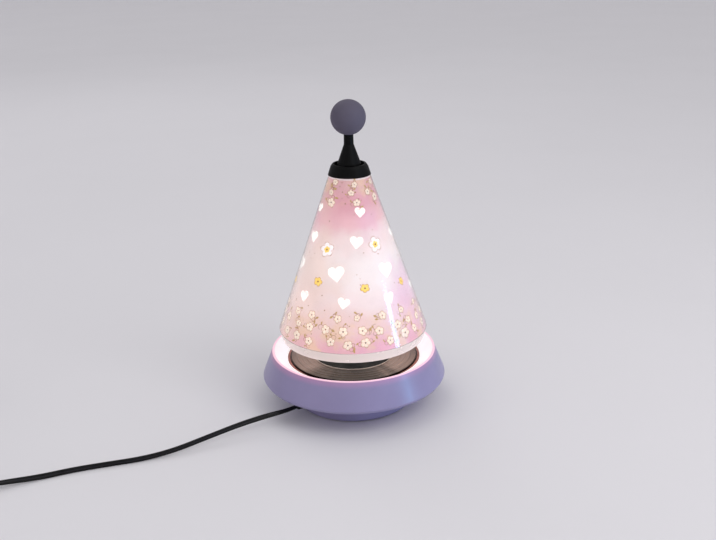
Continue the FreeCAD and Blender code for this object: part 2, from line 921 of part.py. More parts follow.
bulb_low = f"{socket_top} + bulb_seat"
pinch_top = f"{bulb_low} + pinch_length"
bulb_top = f"{bulb_low} + bulb_length"
capsule = turned(
    "capsule",
    [
        ("0", f"{pinch_top} - 1.5"),
        ("bulb_radius", f"{pinch_top} - 1.5", "1.2"),
        ("bulb_radius", f"{bulb_top} - 1", "3.4"),
        ("0.9", f"{bulb_top} - 1", "0.5"),
        ("0.5", bulb_top, "0.3"),
        ("0", bulb_top),
    ],
)
pinch = block(
    "pinch",
    ("-pinch_wide / 2", "pinch_wide / 2"),
    ("-pinch_thick / 2", "pinch_thick / 2"),
    (bulb_low, pinch_top),
)
hollow_low = f"{pinch_top} + 0.5"
hollow = turned(
    "capsule_hollow",
    [
        ("0", hollow_low),
        ("bulb_radius - bulb_glass_wall", hollow_low, "0.8"),
        ("bulb_radius - bulb_glass_wall", f"{bulb_top} - 1 - bulb_glass_wall", "2.6"),
        ("0", f"{bulb_top} - 1 - bulb_glass_wall"),
    ],
)
pin_holes = [
    rod(f"pin_hole_{s}", "pin_radius", bulb_low, hollow_low, f"{s} * pin_place") for s in (-1, 1)
]
keep("bulb_glass", cut("bulb_glass", fused("bulb_blank", [capsule, pinch]), [hollow] + pin_holes))

pins = [
    rod(f"bulb_pin_{s}", "pin_radius", f"{bulb_low} - pin_length", hollow_low, f"{s} * pin_place")
    for s in (-1, 1)
]
keep("bulb_pins", group("bulb_pins", pins))

filament_z = f"{bulb_low} + filament_height"
filament = [
    rod(f"filament_post_{s}", "pin_radius * 0.8", hollow_low, filament_z, f"{s} * pin_place")
    for s in (-1, 1)
] + [
    lying_rod(
        "filament_coil", "filament_radius", "-pin_place - 0.4", "pin_place + 0.4", z=filament_z
    )
]
keep("bulb_filament", fused("bulb_filament", filament))

# Bail: one spring-steel wire over the lamp, its legs pushed through the platform into clips

bail = doc.addObject("PartDesign::Body", "bail_wire")
spine = bail.newObject("Sketcher::SketchObject", "bail_spine")
spine.AttachmentSupport = ([p for p in bail.Origin.OriginFeatures if p.Role == "XZ_Plane"][0], [""])
spine.MapMode = "FlatFace"
half, low, shoulder = value("bail_place"), value("bail_low"), value("bail_shoulder")
spine.addGeometry(Part.LineSegment(Vector(-half, low, 0), Vector(-half, shoulder, 0)))
spine.addGeometry(Part.ArcOfCircle(Part.Circle(Vector(0, shoulder, 0), UP, half), 0, math.pi))
spine.addGeometry(Part.LineSegment(Vector(half, shoulder, 0), Vector(half, low, 0)))
for constraint, text in (
    (Sketcher.Constraint("Tangent", 0, 2, 1, 2), None),
    (Sketcher.Constraint("Tangent", 1, 1, 2, 1), None),
    (Sketcher.Constraint("PointOnObject", 1, 3, -2), None),
    (Sketcher.Constraint("DistanceY", -1, 1, 1, 3, shoulder), "bail_shoulder"),
    (Sketcher.Constraint("Radius", 1, half), "bail_place"),
    (Sketcher.Constraint("Vertical", 0), None),
    (Sketcher.Constraint("Vertical", 2), None),
    (Sketcher.Constraint("DistanceY", -1, 1, 0, 1, low), "bail_low"),
    (Sketcher.Constraint("DistanceY", -1, 1, 2, 2, low), "bail_low"),
):
    at = spine.addConstraint(constraint)
    if text:
        spine.setExpression(f"Constraints[{at}]", bound(text))
wire_end = bail.newObject("Sketcher::SketchObject", "bail_section")
wire_end.AttachmentSupport = (
    [p for p in bail.Origin.OriginFeatures if p.Role == "XY_Plane"][0], [""]
)
wire_end.MapMode = "FlatFace"
wire_end.setExpression("AttachmentOffset.Base.z", bound("bail_low"))
wire_end.addGeometry(Part.Circle(Vector(-half, 0, 0), UP, value("bail_wire_radius")))
wire_end.addConstraint(Sketcher.Constraint("PointOnObject", 0, 3, -1))
at = wire_end.addConstraint(Sketcher.Constraint("DistanceX", -1, 1, 0, 3, -half))
wire_end.setExpression(f"Constraints[{at}]", bound("-bail_place"))
at = wire_end.addConstraint(Sketcher.Constraint("Radius", 0, value("bail_wire_radius")))
wire_end.setExpression(f"Constraints[{at}]", bound("bail_wire_radius"))
pipe = bail.newObject("PartDesign::AdditivePipe", "bail_pipe")
pipe.Profile = wire_end
pipe.Spine = spine
bail.Tip = pipe
keep("bail_wire", bail)

clip = turned(
    "bail_clip",
    [
        ("bail_wire_radius", "0"),
        ("clip_radius", "0"),
        ("clip_radius", "clip_thick", "0.2"),
        ("bail_wire_radius", "clip_thick"),
    ],
)
copies(
    "bail_clips", clip,
    [(f"{s} * bail_place", "0", "platform_low - clip_thick") for s in (-1, 1)],
)

# Needle: a pointed rod in a small brass ferrule on the crown of the bail

crown = "bail_shoulder + bail_place"
needle_low = f"{crown} + needle_foot"
ferrule_blank = turned(
    "ferrule_blank",
    [
        ("0", f"{crown} - ferrule_foot"),
        ("ferrule_radius", f"{crown} - ferrule_foot", "0.5"),
        ("ferrule_radius", f"{crown} + ferrule_top", "0.5"),
        ("0", f"{crown} + ferrule_top"),
    ],
)
ferrule_cuts = [
    lying_rod(
        "ferrule_cross", "bail_wire_radius + ferrule_gap", "-2 * ferrule_radius",
        "2 * ferrule_radius", z=f"{crown} - ferrule_gap / 2",
    ),
    rod("ferrule_bore", "needle_radius", needle_low, f"{crown} + ferrule_top"),
]
keep("needle_ferrule", cut("needle_ferrule", ferrule_blank, ferrule_cuts))
needle = turned(
    "needle_rod",
    [
        ("0", needle_low),
        ("needle_radius", needle_low),
        ("needle_radius", "needle_tip - needle_point"),
        ("0", "needle_tip"),
    ],
)
keep("needle_rod", needle)

# Brass cup that turns on the needle's point; the shade drops over it

cup = turned(
    "bearing_cup",
    [
        ("cup_bore", "cup_low"),
        ("cup_radius", "cup_low", "fine_round"),
        ("cup_radius", "cup_top", "0.8"),
        ("0", "cup_top"),
        ("0", "needle_tip + point_gap"),
        ("cup_bore", "needle_tip + point_gap - cup_bore"),
    ],
)
keep("bearing_cup", cup)

# Turbine wheel: hub, rim and slanted blades that the warm air pushes round

shade_bore = "cup_radius + cup_gap"
hub = turned(
    "hub",
    [
        (shade_bore, "hub_low"),
        ("hub_radius", "hub_low", "0.5"),
        ("hub_radius", "hub_top"),
        (f"{shade_bore} + hub_spigot_wall", "hub_top"),
        (f"{shade_bore} + hub_spigot_wall", "hub_top + hub_spigot"),
        (shade_bore, "hub_top + hub_spigot"),
    ],
)
wheel_rim = turned(
    "wheel_rim",
    [
        ("wheel_rim_radius - wheel_rim_wall", "wheel_low"),
        ("wheel_rim_radius", "wheel_low"),
        ("wheel_rim_radius", "wheel_top"),
        ("wheel_rim_radius - wheel_rim_wall", "wheel_top"),
    ],
)
blades = []
for k in range(int(SIZES["blade_count"])):
    blade = doc.addObject("Part::Box", f"blade_{k}")
    blade.setExpression("Length", bound("wheel_rim_radius - wheel_rim_wall / 2 - blade_root"))
    blade.setExpression("Width", bound("blade_thick"))
    blade.setExpression("Height", bound("blade_chord"))
    tilt = FreeCAD.Rotation(Vector(1, 0, 0), value("blade_tilt"))
    around = FreeCAD.Rotation(UP, k * 360 / value("blade_count"))
    corner = Vector(value("blade_root"), -value("blade_thick") / 2, -value("blade_chord") / 2)
    middle = Vector(0, 0, value("(wheel_low + wheel_top) / 2"))
    blade.Placement = FreeCAD.Placement(around.multVec(tilt.multVec(corner)) + middle, around * tilt)
    blades.append(blade)
keep("turbine_wheel", fused("turbine_wheel", [hub, wheel_rim] + blades))

# Flared collar: it holds the wheel's rim and grips the top edge of the cone

cone_slope = "((cone_low_radius - cone_top_radius) / (cone_top - cone_low))"
cone_at_collar = f"cone_top_radius + {cone_slope} * (cone_top - collar_low)"
cone_at_groove = f"cone_top_radius + {cone_slope} * (cone_top - collar_groove)"
collar = turned(
    "top_collar",
    [
        ("collar_radius", "collar_low"),
        ("collar_waist", "collar_waist_height", "1"),
        ("collar_mouth", "collar_top", "fine_round"),
        ("wheel_rim_radius - wheel_rim_wall", "collar_top", "fine_round"),
        ("wheel_rim_radius - wheel_rim_wall", "wheel_top"),
        ("wheel_rim_radius", "wheel_top"),
        ("wheel_rim_radius", "collar_sleeve_low"),
        ("wheel_rim_radius + collar_sleeve", "collar_sleeve_low"),
        ("wheel_rim_radius + collar_sleeve", "collar_groove"),
        (f"{cone_at_groove} + film_gap", "collar_groove"),
        (f"{cone_at_collar} + film_gap", "collar_low"),
    ],
)
keep("top_collar", collar)

# Tower: a hollow cone and neck, with the blind bore that rides on the bearing cup

boss = "hub_radius"
tower = turned(
    "tower",
    [
        ("tower_radius", "hub_top"),
        ("neck_radius + 0.2", "tower_top", "0.6"),
        ("neck_radius", "neck_top", "fine_round"),
        ("peg_radius", "neck_top"),
        ("peg_radius", "neck_top + peg_length", "fine_round"),
        ("0", "neck_top + peg_length"),
        ("0", "cup_top + cup_gap"),
        (shade_bore, "cup_top + cup_gap"),
        (shade_bore, "hub_top + hub_spigot"),
        (f"{shade_bore} + hub_spigot_wall", "hub_top + hub_spigot"),
        (f"{shade_bore} + hub_spigot_wall", "hub_top"),
        (boss, "hub_top"),
        (boss, "tower_cavity"),
        ("tower_radius - tower_wall", "hub_top"),
    ],
)
keep("tower", tower)

ball = doc.addObject("Part::Sphere", "ball")
ball.setExpression("Radius", bound("ball_radius"))
put(ball, "0", "0", "ball_centre")
ball_seat = rod("ball_seat", "ball_radius", "ball_centre - ball_radius - 1", "neck_top")
ball_bore = rod(
    "ball_bore", "peg_radius + peg_gap", "neck_top - 1", "neck_top + peg_length + peg_gap"
)
keep("ball_knob", cut("ball_knob", ball, [ball_seat, ball_bore]))

# Cone of clear plastic, the printed film inside it with its heart windows, and the foot ring

clear = "(cone_low_radius - cone_wall)"
film_low = f"({clear} - film_gap)"
film_in = f"({film_low} - film_wall)"
drop = "(cone_low_radius - cone_top_radius)"
cone = turned(
    "shade_cone",
    [
        ("cone_low_radius", "cone_low"),
        ("cone_top_radius", "cone_top"),
        ("cone_top_radius - cone_wall", "cone_top"),
        (clear, "cone_low"),
    ],
)
keep("shade_cone", cone)

film = turned(
    "film_blank",
    [
        (film_low, "cone_low"),
        (f"{film_low} - {drop}", "cone_top"),
        (f"{film_in} - {drop}", "cone_top"),
        (film_in, "cone_low"),
    ],
)


def heart(width):
    """A heart's face in the XZ plane: two round lobes and straight sides down to the tip."""
    lobe = 0.27 * width
    apart = 0.5 * width - lobe
    tip = Vector(0, 0, -0.62 * width)
    centre = Vector(apart, 0, 0)
    reach = centre - tip
    along = reach.Length**2 - lobe**2
    lean = math.asin(lobe / reach.Length)
    side = FreeCAD.Rotation(Vector(0, 1, 0), math.degrees(lean)).multVec(reach).normalize()
    touch = tip + side * math.sqrt(along)
    notch = Vector(0, 0, math.sqrt(lobe**2 - apart**2))
    crest = centre + Vector(lobe * 0.5, 0, lobe * math.sqrt(0.75))
    right = [Part.LineSegment(tip, touch), Part.Arc(touch, crest, notch)]
    mirror = lambda p: Vector(-p.x, p.y, p.z)
    left = [Part.Arc(notch, mirror(crest), mirror(touch)), Part.LineSegment(mirror(touch), tip)]
    return Part.Face(Part.Wire([c.toShape() for c in right + left]))


# Heart windows in four staggered rows: height over the cone's foot, how many, width, first angle
HEART_ROWS = [
    (136.0, 4, 11.0, 18.0),
    (108.0, 5, 13.5, 62.0),
    (78.0, 6, 17.0, 12.0),
    (50.0, 8, 12.5, 37.0),
]
HEART_DEPTH = 14.0
windows = []
for rise, count, width, first_angle in HEART_ROWS:
    radius = value(f"{film_low} - {drop} * {rise} / cone_height")
    height = value("cone_low") + rise
    face = heart(width)
    face.translate(Vector(0, HEART_DEPTH / 2, 0))
    window = face.extrude(Vector(0, -HEART_DEPTH, 0))
    for k in range(round(count)):
        around = FreeCAD.Rotation(UP, first_angle + k * 360 / count + 90)
        lean = FreeCAD.Rotation(Vector(0, 1, 0), 9 if k % 2 else -12)
        spot = around.multVec(Vector(0, -radius, 0)) + Vector(0, 0, height)
        turned_window = window.copy()
        turned_window.Placement = FreeCAD.Placement(spot, around * lean)
        windows.append(turned_window)
cutters = doc.addObject("Part::Feature", "heart_windows")
cutters.Shape = Part.makeCompound(windows)
printed = doc.addObject("Part::Cut", "printed_film")
printed.Base = film
printed.Tool = cutters
keep("printed_film", printed)

upstand = f"(ring_upstand * {cone_slope})"
foot_ring = turned(
    "shade_ring",
    [
        ("cone_low_radius", "cone_low", "fine_round"),
        ("ring_low_radius", "ring_low", "0.6"),
        ("ring_low_radius - ring_wall - ring_lip", "ring_low"),
        ("ring_low_radius - ring_wall - ring_lip", "ring_low + ring_lip_thick"),
        ("ring_low_radius - ring_wall", "ring_low + ring_lip_thick"),
        (f"{film_in} - ring_wall", "cone_low - 1"),
        (f"{film_in} - ring_wall - {upstand}", "cone_low + ring_upstand"),
        (f"{film_in} - film_gap - {upstand}", "cone_low + ring_upstand"),
        (f"{film_in} - film_gap", "cone_low"),
    ],
)
keep("shade_ring", foot_ring)

# Where the cord comes in: bush in the drum's wall, clamp on its pad, and terminal block

bush_seat = "sqrt((drum_radius - wall)^2 - bush_flange^2)"
bush_blank = turned(
    "cord_bush_blank",
    [
        ("cord_radius", "bush_inner"),
        ("bush_flange", "bush_inner", "fine_round"),
        ("bush_flange", bush_seat),
        ("bush_radius", bush_seat),
        ("bush_radius", "drum_radius"),
        ("bush_flange", "drum_radius"),
        ("bush_flange", "drum_radius + bush_flange_thick", "fine_round"),
        ("bush_radius", "drum_radius + bush_flange_thick"),
        ("bush_tip_radius", "bush_tip", "fine_round"),
        ("cord_radius", "bush_tip"),
    ],
)
bush_place = FreeCAD.Placement(
    Vector(0, 0, value("bush_height")), FreeCAD.Rotation(UP, value("bush_angle")) * LYING
)
keep("cord_bush", group("cord_bush", [bush_blank]), bush_place)

inner_cord = lying_rod(
    "inner_cord_rod", "cord_radius", "inner_cord_end", "bush_tip", z="bush_height"
)
keep("inner_cord", group("inner_cord", [inner_cord]), bush_turn)

clamp_bar = block(
    "clamp_bar",
    ("clamp_place - clamp_length / 2", "clamp_place + clamp_length / 2"),
    ("-clamp_half", "clamp_half"),
    ("clamp_low", "clamp_top"),
)
clamp_cuts = [
    lying_rod("clamp_groove", "cord_radius", "inner_cord_end", "bush_inner", z="bush_height")
] + [
    rod(
        f"clamp_hole_{s}", "clamp_screw_radius + screw_gap / 2", "clamp_low", "clamp_top",
        "clamp_place", f"{s} * clamp_screw_place",
    )
    for s in (-1, 1)
]
keep("cord_clamp", cut("cord_clamp", clamp_bar, clamp_cuts), bush_turn)
clamp_screw = flipped(
    "clamp_screw_down",
    screw(
        "clamp_screw", "clamp_screw_radius", "2 * clamp_screw_radius", "0.8 * screw_head",
        "clamp_screw_depth - 0.5", "0.6",
    ),
)
copies(
    "clamp_screws", clamp_screw,
    [("clamp_place", f"{s} * clamp_screw_place", "clamp_top") for s in (-1, 1)], bush_turn,
)

block_top = f"{floor_top} + block_height"
wire_z = f"{floor_top} + block_wire_height"
block_blank = block(
    "block_blank",
    ("block_inner", "block_outer"),
    ("-block_half", "block_half"),
    (floor_top, block_top),
)
quarter = "(block_outer - block_inner) / 4"
block_cuts = [rod("block_hole_middle", "screw_radius", floor_top, block_top, block_middle)]
for s in (-1, 1):
    y = f"{s} * block_wire_place"
    block_cuts.append(
        lying_rod(f"wire_way_{s}", "block_hole", "block_inner", "block_outer", y, wire_z)
    )
    for side in (-1, 1):
        block_cuts.append(
            rod(f"grub_way_{s}_{side}", "block_hole", wire_z, block_top,
                f"{block_middle} + {side} * {quarter}", y)
        )
keep("terminal_block", cut("terminal_block", block_blank, block_cuts), bush_turn)

grub_low = f"{wire_z} + wire_radius"
grub = cut(
    "terminal_screw",
    rod("grub_blank", "block_hole", "0", f"{block_top} - grub_inset - ({grub_low})"),
    [
        block(
            "grub_slot", ("-block_hole", "block_hole"), ("-grub_slot / 2", "grub_slot / 2"),
            (f"{block_top} - 2 * grub_inset - ({grub_low})", block_top),
        )
    ],
)
grub_spots = [
    (f"{block_middle} + {side} * {quarter}", f"{s} * block_wire_place", grub_low)
    for s in (-1, 1) for side in (-1, 1)
]
copies("terminal_screws", grub, grub_spots, bush_turn)
mount_screw = flipped(
    "mount_screw_down",
    screw("mount_screw", "screw_radius", "screw_head_radius", "screw_head",
          "block_height + wall / 2", "0.8"),
)
copies("terminal_mount_screw", mount_screw, [(block_middle, "0", block_top)], bush_turn)

# Wires inside: the cord's two cores to the block, and two leads up the rod to the socket

wire_radius = value("wire_radius")
cores, leads = [], []
for s in (-1, 1):
    y = s * value("block_wire_place")
    start = (value("inner_cord_end"), s * value("cord_radius") / 2, value("bush_height"))
    end_z = value(wire_z)
    cores.append(
        tube(
            f"cord_core_{s}",
            [
                start,
                (start[0] - value("core_bend"), start[1], start[2]),
                (value("block_outer + core_bend"), y, end_z),
                (value(f"{block_middle} + {quarter}"), y, end_z),
            ],
            wire_radius,
        )
    )
    inside = value(f"{block_middle} - {quarter}")
    low_points = [
        (inside, y, end_z),
        (inside - value("lead_out"), y, end_z),
        (value("lead_turn"), 0.8 * y, end_z + value("lead_climb")),
    ]
    swung = [(*turned_about_z(p[0], p[1], value("bush_angle")), p[2]) for p in low_points]
    place = s * value("rod_bore") * 0.36
    top = value(f"{bracket_inside} + nut_thick")
    leads.append(
        tube(
            f"lamp_lead_{s}",
            swung
            + [
                (place, 0, value("rod_low - lead_entry")),
                (place * 1.05, 0, value("rod_low + 2 * lead_entry")),
                (place, 0, top),
                (s * value("pin_place"), 0, value(contact_low) - 2),
                (s * value("pin_place"), 0, value(contact_low)),
            ],
            wire_radius,
        )
    )
keep("cord_cores", group("cord_cores", cores), bush_turn)
keep("lamp_leads", group("lamp_leads", leads))

# In-line switch, made lying along X and then placed on the cord


def rounded_plate(name, half_x, half_y, corner, low, high):
    """A plate with rounded corners, centred on the origin."""
    spots = [(f"-({half_x})", f"-({half_y})"), (half_x, f"-({half_y})")]
    spots += [(half_x, half_y), (f"-({half_x})", half_y)]
    return slab(name, [(x, y, corner) for x, y in spots], low, high)


def domed_plate(name, half_x, half_y, corner, low, high, edge):
    """A plate with rounded corners whose upper edge is rounded too."""
    body = rounded_plate(name, half_x, half_y, corner, low, high)
    doc.recompute()
    pad = body.Tip
    top = max(range(len(pad.Shape.Faces)), key=lambda k: pad.Shape.Faces[k].CenterOfMass.z)
    dome = body.newObject("PartDesign::Fillet", name + "_dome")
    dome.Base = (pad, [f"Face{top + 1}"])
    dome.setExpression("Radius", bound(edge))
    body.Tip = dome
    return body


def along(place, distance, height):
    """The world point at a distance along a placed piece's own X axis, at a world height."""
    spot = place.multVec(Vector(distance, 0, 0))
    return spot.x, spot.y, height


switch_place = FreeCAD.Placement(
    Vector(value("switch_x"), value("switch_y"), 0), FreeCAD.Rotation(UP, value("switch_turn"))
)
switch_out = ("switch_length / 2", "switch_width / 2", "switch_corner")
switch_in = tuple(f"{size} - switch_wall" for size in switch_out)
inside_top = "(switch_height - switch_wall)"
cord_way = lying_rod(
    "switch_cord_way", "cord_radius", "-switch_length", "switch_length", z="switch_split"
)


def switch_posts(name, radius, low, high):
    """A cylinder on each of the two housing screws, at opposite corners beside the cord."""
    place = ("(switch_length / 2 - switch_corner)", "(switch_width / 2 - switch_screw_inset)")
    return [
        rod(f"{name}_{s}", radius, low, high, f"{s} * {place[0]}", f"{s} * {place[1]}")
        for s in (-1, 1)
    ]


base_shell = cut(
    "switch_base_shell",
    rounded_plate("switch_base_blank", *switch_out, "0", "switch_split"),
    [rounded_plate("switch_base_hollow", *switch_in, "switch_wall", "switch_split")],
)
base_posts = switch_posts("switch_post", "switch_post", "switch_wall / 2", "switch_split")
base_cuts = [
    *switch_posts("switch_screw_way", "screw_radius + screw_gap / 2", "0", "switch_split"),
    *switch_posts("switch_head_way", "switch_head_radius + screw_gap", "0", "switch_seat"),
    cord_way,
]
base_solid = fused("switch_base_solid", [base_shell, *base_posts])
keep("switch_base", cut("switch_base", base_solid, base_cuts), switch_place)

open_x = "(rocker_half + rocker_gap)"
open_y = "(rocker_side + rocker_side_gap)"
pin_half = f"({open_y} + ear_thick)"
cover_shell = cut(
    "switch_cover_shell",
    domed_plate("switch_cover_blank", *switch_out, "switch_split", "switch_height", "switch_wall"),
    [rounded_plate("switch_cover_hollow", *switch_in, "switch_split", inside_top)],
)
ear_height = ("rocker_pivot - ear_half", inside_top)
ears = [
    block("ear_left", ("-ear_half", "ear_half"), (open_y, pin_half), ear_height),
    block("ear_right", ("-ear_half", "ear_half"), (f"-{pin_half}", f"-{open_y}"), ear_height),
]
cover_posts = switch_posts("cover_post", "switch_post", "switch_split", inside_top)
cover_solid = fused("switch_cover_solid", [cover_shell, *ears, *cover_posts])


def across_rod(name, radius, half, z):
    """A cylinder along Y, centred on the XZ plane."""
    cylinder = doc.addObject("Part::Cylinder", name)
    cylinder.setExpression("Radius", bound(radius))
    cylinder.setExpression("Height", bound(f"2 * ({half})"))
    return put(cylinder, "0", f"-({half})", z, SIDEWAYS)


window = block(
    "rocker_window", (f"-{open_x}", open_x), (f"-{open_y}", open_y),
    ("switch_split", "switch_height + 1"),
)
cover_cuts = [
    window,
    across_rod("rocker_pin_way", "rocker_pin_radius", pin_half, "rocker_pivot"),
    *switch_posts("cover_pilot", "screw_radius", "switch_split", f"{inside_top} - 1"),
    cord_way,
]
keep("switch_cover", cut("switch_cover", cover_solid, cover_cuts), switch_place)

pin = across_rod("rocker_pin_rod", "rocker_pin_radius", pin_half, "rocker_pivot")
keep("rocker_pin", group("rocker_pin", [pin]), switch_place)

# Rocker, drawn level about its pin and then tipped to ON, its far end down

rocker_body = doc.addObject("PartDesign::Body", "rocker_blank")
rocker_pad = rocker_body.newObject("PartDesign::Pad", "rocker_pad")
rocker_pad.Profile = sketched(
    rocker_body, "XZ_Plane",
    [
        ("-rocker_half", "rocker_low + 0.4 * rocker_half - rocker_pivot", "fine_round"),
        ("-0.4 * rocker_half", "rocker_low - rocker_pivot", "0.8"),
        ("0.4 * rocker_half", "rocker_low - rocker_pivot", "0.8"),
        ("rocker_half", "rocker_low + 0.4 * rocker_half - rocker_pivot", "fine_round"),
        ("rocker_half", "rocker_top - rocker_pivot", "0.7"),
        ("0", "rocker_top - rocker_dip - rocker_pivot", "60"),
        ("-rocker_half", "rocker_top - rocker_pivot", "0.7"),
    ],
)
rocker_pad.SideType = "Symmetric"
rocker_pad.setExpression("Length", bound("2 * rocker_side"))
rocker_body.Tip = rocker_pad
rocker_hole = across_rod("rocker_hole", "rocker_pin_radius + rocker_pin_gap", "2 * rocker_side", "0")
tipped = FreeCAD.Placement(
    Vector(0, 0, value("rocker_pivot")),
    FreeCAD.Rotation(Vector(0, 1, 0), value("rocker_tilt")),
)
keep("switch_rocker", cut("switch_rocker", rocker_body, [rocker_hole]), switch_place * tipped)

plate_top = "switch_split + plate_rise"
plates = []
for s in (-1, 1):
    edges = [f"{s} * plate_start", f"{s} * plate_end", f"{s} * (plate_end + plate_thick)"]
    flat_x, foot_x = edges[:2][::s], edges[1:][::s]
    plate_y = ("-plate_half", "plate_half")
    flat = block(f"plate_{s}", flat_x, plate_y, (f"{plate_top} - plate_thick", plate_top))
    foot = block(f"plate_foot_{s}", foot_x, plate_y, ("switch_wall", plate_top))
    plates.append(fused(f"switch_contact_{s}", [flat, foot]))
keep("switch_contacts", group("switch_contacts", plates), switch_place)

switch_screw = screw(
    "switch_screw", "screw_radius", "switch_head_radius", "switch_head",
    "switch_height - switch_wall - switch_seat - 1.5",
)
screw_spots = [
    (f"{s} * (switch_length / 2 - switch_corner)",
     f"{s} * (switch_width / 2 - switch_screw_inset)", "switch_seat")
    for s in (-1, 1)
]
copies("switch_screws", switch_screw, screw_spots, switch_place)

# The cord's two ends in the switch: one core runs straight through, one is broken by the plates

core_side = value("cord_radius") / 2
stub_end, split = value("switch_length / 2 - cord_stub"), value("switch_split")
through_side = value("switch_width / 2 - switch_wall - 3 * wire_radius")
through_low = value("switch_wall + 1.5 * wire_radius")
through_half = value("plate_end + 3 * wire_radius")
half_way = [
    (stub_end, core_side, split),
    (stub_end - 4, core_side, split),
    (through_half, through_side, through_low),
]
mirrored = [(-x, y, z) for x, y, z in half_way[::-1]]
through = tube("switch_core_through", half_way + mirrored, wire_radius)
switch_cords = [through]
for s in (-1, 1):
    ends = ["-switch_length / 2", "-switch_length / 2 + cord_stub"]
    core_ends = [ends[1], "-plate_end - plate_thick"]
    if s > 0:
        ends = ["switch_length / 2 - cord_stub", "switch_length / 2"]
        core_ends = ["plate_end + plate_thick", ends[0]]
    switch_cords.append(lying_rod(f"switch_stub_{s}", "cord_radius", *ends, z="switch_split"))
    low_core = f"{plate_top} - plate_thick - wire_radius"
    switch_cords.append(
        lying_rod(f"switch_core_{s}", "wire_radius", *core_ends, "-cord_radius / 2", low_core)
    )
keep("switch_cords", group("switch_cords", switch_cords), switch_place)

# Plug-in transformer, made lying along X about its middle, its cord end towards -X

transformer_turn = FreeCAD.Rotation(UP, value("transformer_turn"))
transformer_place = FreeCAD.Placement(
    Vector(value("transformer_x"), value("transformer_y"), 0)
    + transformer_turn.multVec(Vector(value("transformer_length / 2"), 0, 0)),
    transformer_turn,
)
case_out = ("transformer_length / 2", "transformer_width / 2", "transformer_corner")
case_in = tuple(f"{size} - transformer_wall" for size in case_out)
case_roof = "(transformer_height - transformer_wall)"
middle_height = "transformer_height / 2"
cord_level = "3 * cord_radius + coil_gap"


def corner_spots():
    """Where the four housing screws stand."""
    x = "(transformer_length / 2 - transformer_screw_inset)"
    y = "(transformer_width / 2 - transformer_screw_inset)"
    return [(f"{i} * {x}", f"{j} * {y}") for i in (-1, 1) for j in (-1, 1)]


def corner_rods(name, radius, low, high):
    """A cylinder on each housing screw."""
    return [rod(f"{name}_{k}", radius, low, high, x, y) for k, (x, y) in enumerate(corner_spots())]


case_shell = cut(
    "case_shell",
    rounded_plate("case_blank", *case_out, "0", "transformer_split"),
    [rounded_plate("case_hollow", *case_in, "transformer_wall", "transformer_split")],
)
rib_low, rib_high = "transformer_wall / 2", f"{middle_height} - core_thick / 2"
ribs = []
for i in (-1, 1):
    for j in (-1, 1):
        rib_x = ["core_length / 2 - core_limb", "core_length / 2"][::i]
        rib_y = ["core_limb", "core_width / 2"][::j]
        ribs.append(
            block(
                f"rib_{i}_{j}", [f"{i} * ({x})" for x in rib_x], [f"{j} * ({y})" for y in rib_y],
                (rib_low, rib_high),
            )
        )
case_posts = corner_rods("case_post", "transformer_post", rib_low, "transformer_split")
relief_way = lying_rod(
    "relief_way", "relief_radius", "-transformer_length", "-transformer_length / 4", z=cord_level
)
case_cuts = [
    *corner_rods("case_screw_way", "screw_radius + screw_gap", "0", "transformer_split"),
    *corner_rods("case_head_way", "screw_head_radius + 2 * screw_gap", "0", "transformer_seat"),
    relief_way,
]
case_solid = fused("case_solid", [case_shell, *case_posts, *ribs])
keep("transformer_case", cut("transformer_case", case_solid, case_cuts), transformer_place)

cover_shell = cut(
    "lid_shell",
    domed_plate("lid_blank", *case_out, "transformer_split", "transformer_height", "transformer_wall"),
    [rounded_plate("lid_hollow", *case_in, "transformer_split", case_roof)],
)
lid_posts = corner_rods("lid_post", "transformer_post", "transformer_split", case_roof)
plug_x = "(plug_place - transformer_length / 2)"
pin_ways = [
    rod(
        f"plug_way_{s}", "plug_radius + plug_seat", case_roof, "transformer_height", plug_x,
        f"{s} * plug_half",
    )
    for s in (-1, 1)
]
pilots = corner_rods("lid_pilot", "screw_radius", "transformer_split", f"{case_roof} - 1")
lid_solid = fused("lid_solid", [cover_shell, *lid_posts])
keep("transformer_cover", cut("transformer_cover", lid_solid, pin_ways + pilots), transformer_place)

pin_top = "plug_foot + transformer_wall + plug_length"
plug_pin = turned(
    "plug_pin",
    [
        ("0", "0"),
        ("plug_radius + plug_foot", "0"),
        ("plug_radius + plug_foot", "plug_foot"),
        ("plug_radius + plug_seat", "plug_foot"),
        ("plug_radius + plug_seat", "plug_foot + transformer_wall"),
        ("plug_radius", "plug_foot + transformer_wall + 2 * plug_seat"),
        ("plug_radius", pin_top, "0.4 * plug_radius"),
        ("0", pin_top),
    ],
)
pin_spots = [(plug_x, f"{s} * plug_half", f"{case_roof} - plug_foot") for s in (-1, 1)]
copies("plug_pins", plug_pin, pin_spots, transformer_place)

transformer_screw = screw(
    "transformer_screw", "screw_radius", "screw_head_radius", "screw_head",
    "transformer_height - transformer_wall - transformer_seat - 2",
)
copies(
    "transformer_screws", transformer_screw,
    [(x, y, "transformer_seat") for x, y in corner_spots()], transformer_place,
)

# Iron core with two windows, and the winding round its middle limb

core_z = (f"{middle_height} - core_thick / 2", f"{middle_height} + core_thick / 2")
core_blank = block(
    "core_blank", ("-core_length / 2", "core_length / 2"), ("-core_width / 2", "core_width / 2"),
    core_z,
)
window_y = ("-core_width / 2 + core_limb", "core_width / 2 - core_limb")
core_windows = [
    block("core_window_left", ("-core_length / 2 + core_limb", "-core_limb"), window_y, core_z),
    block("core_window_right", ("core_limb", "core_length / 2 - core_limb"), window_y, core_z),
]
keep("transformer_core", cut("transformer_core", core_blank, core_windows), transformer_place)

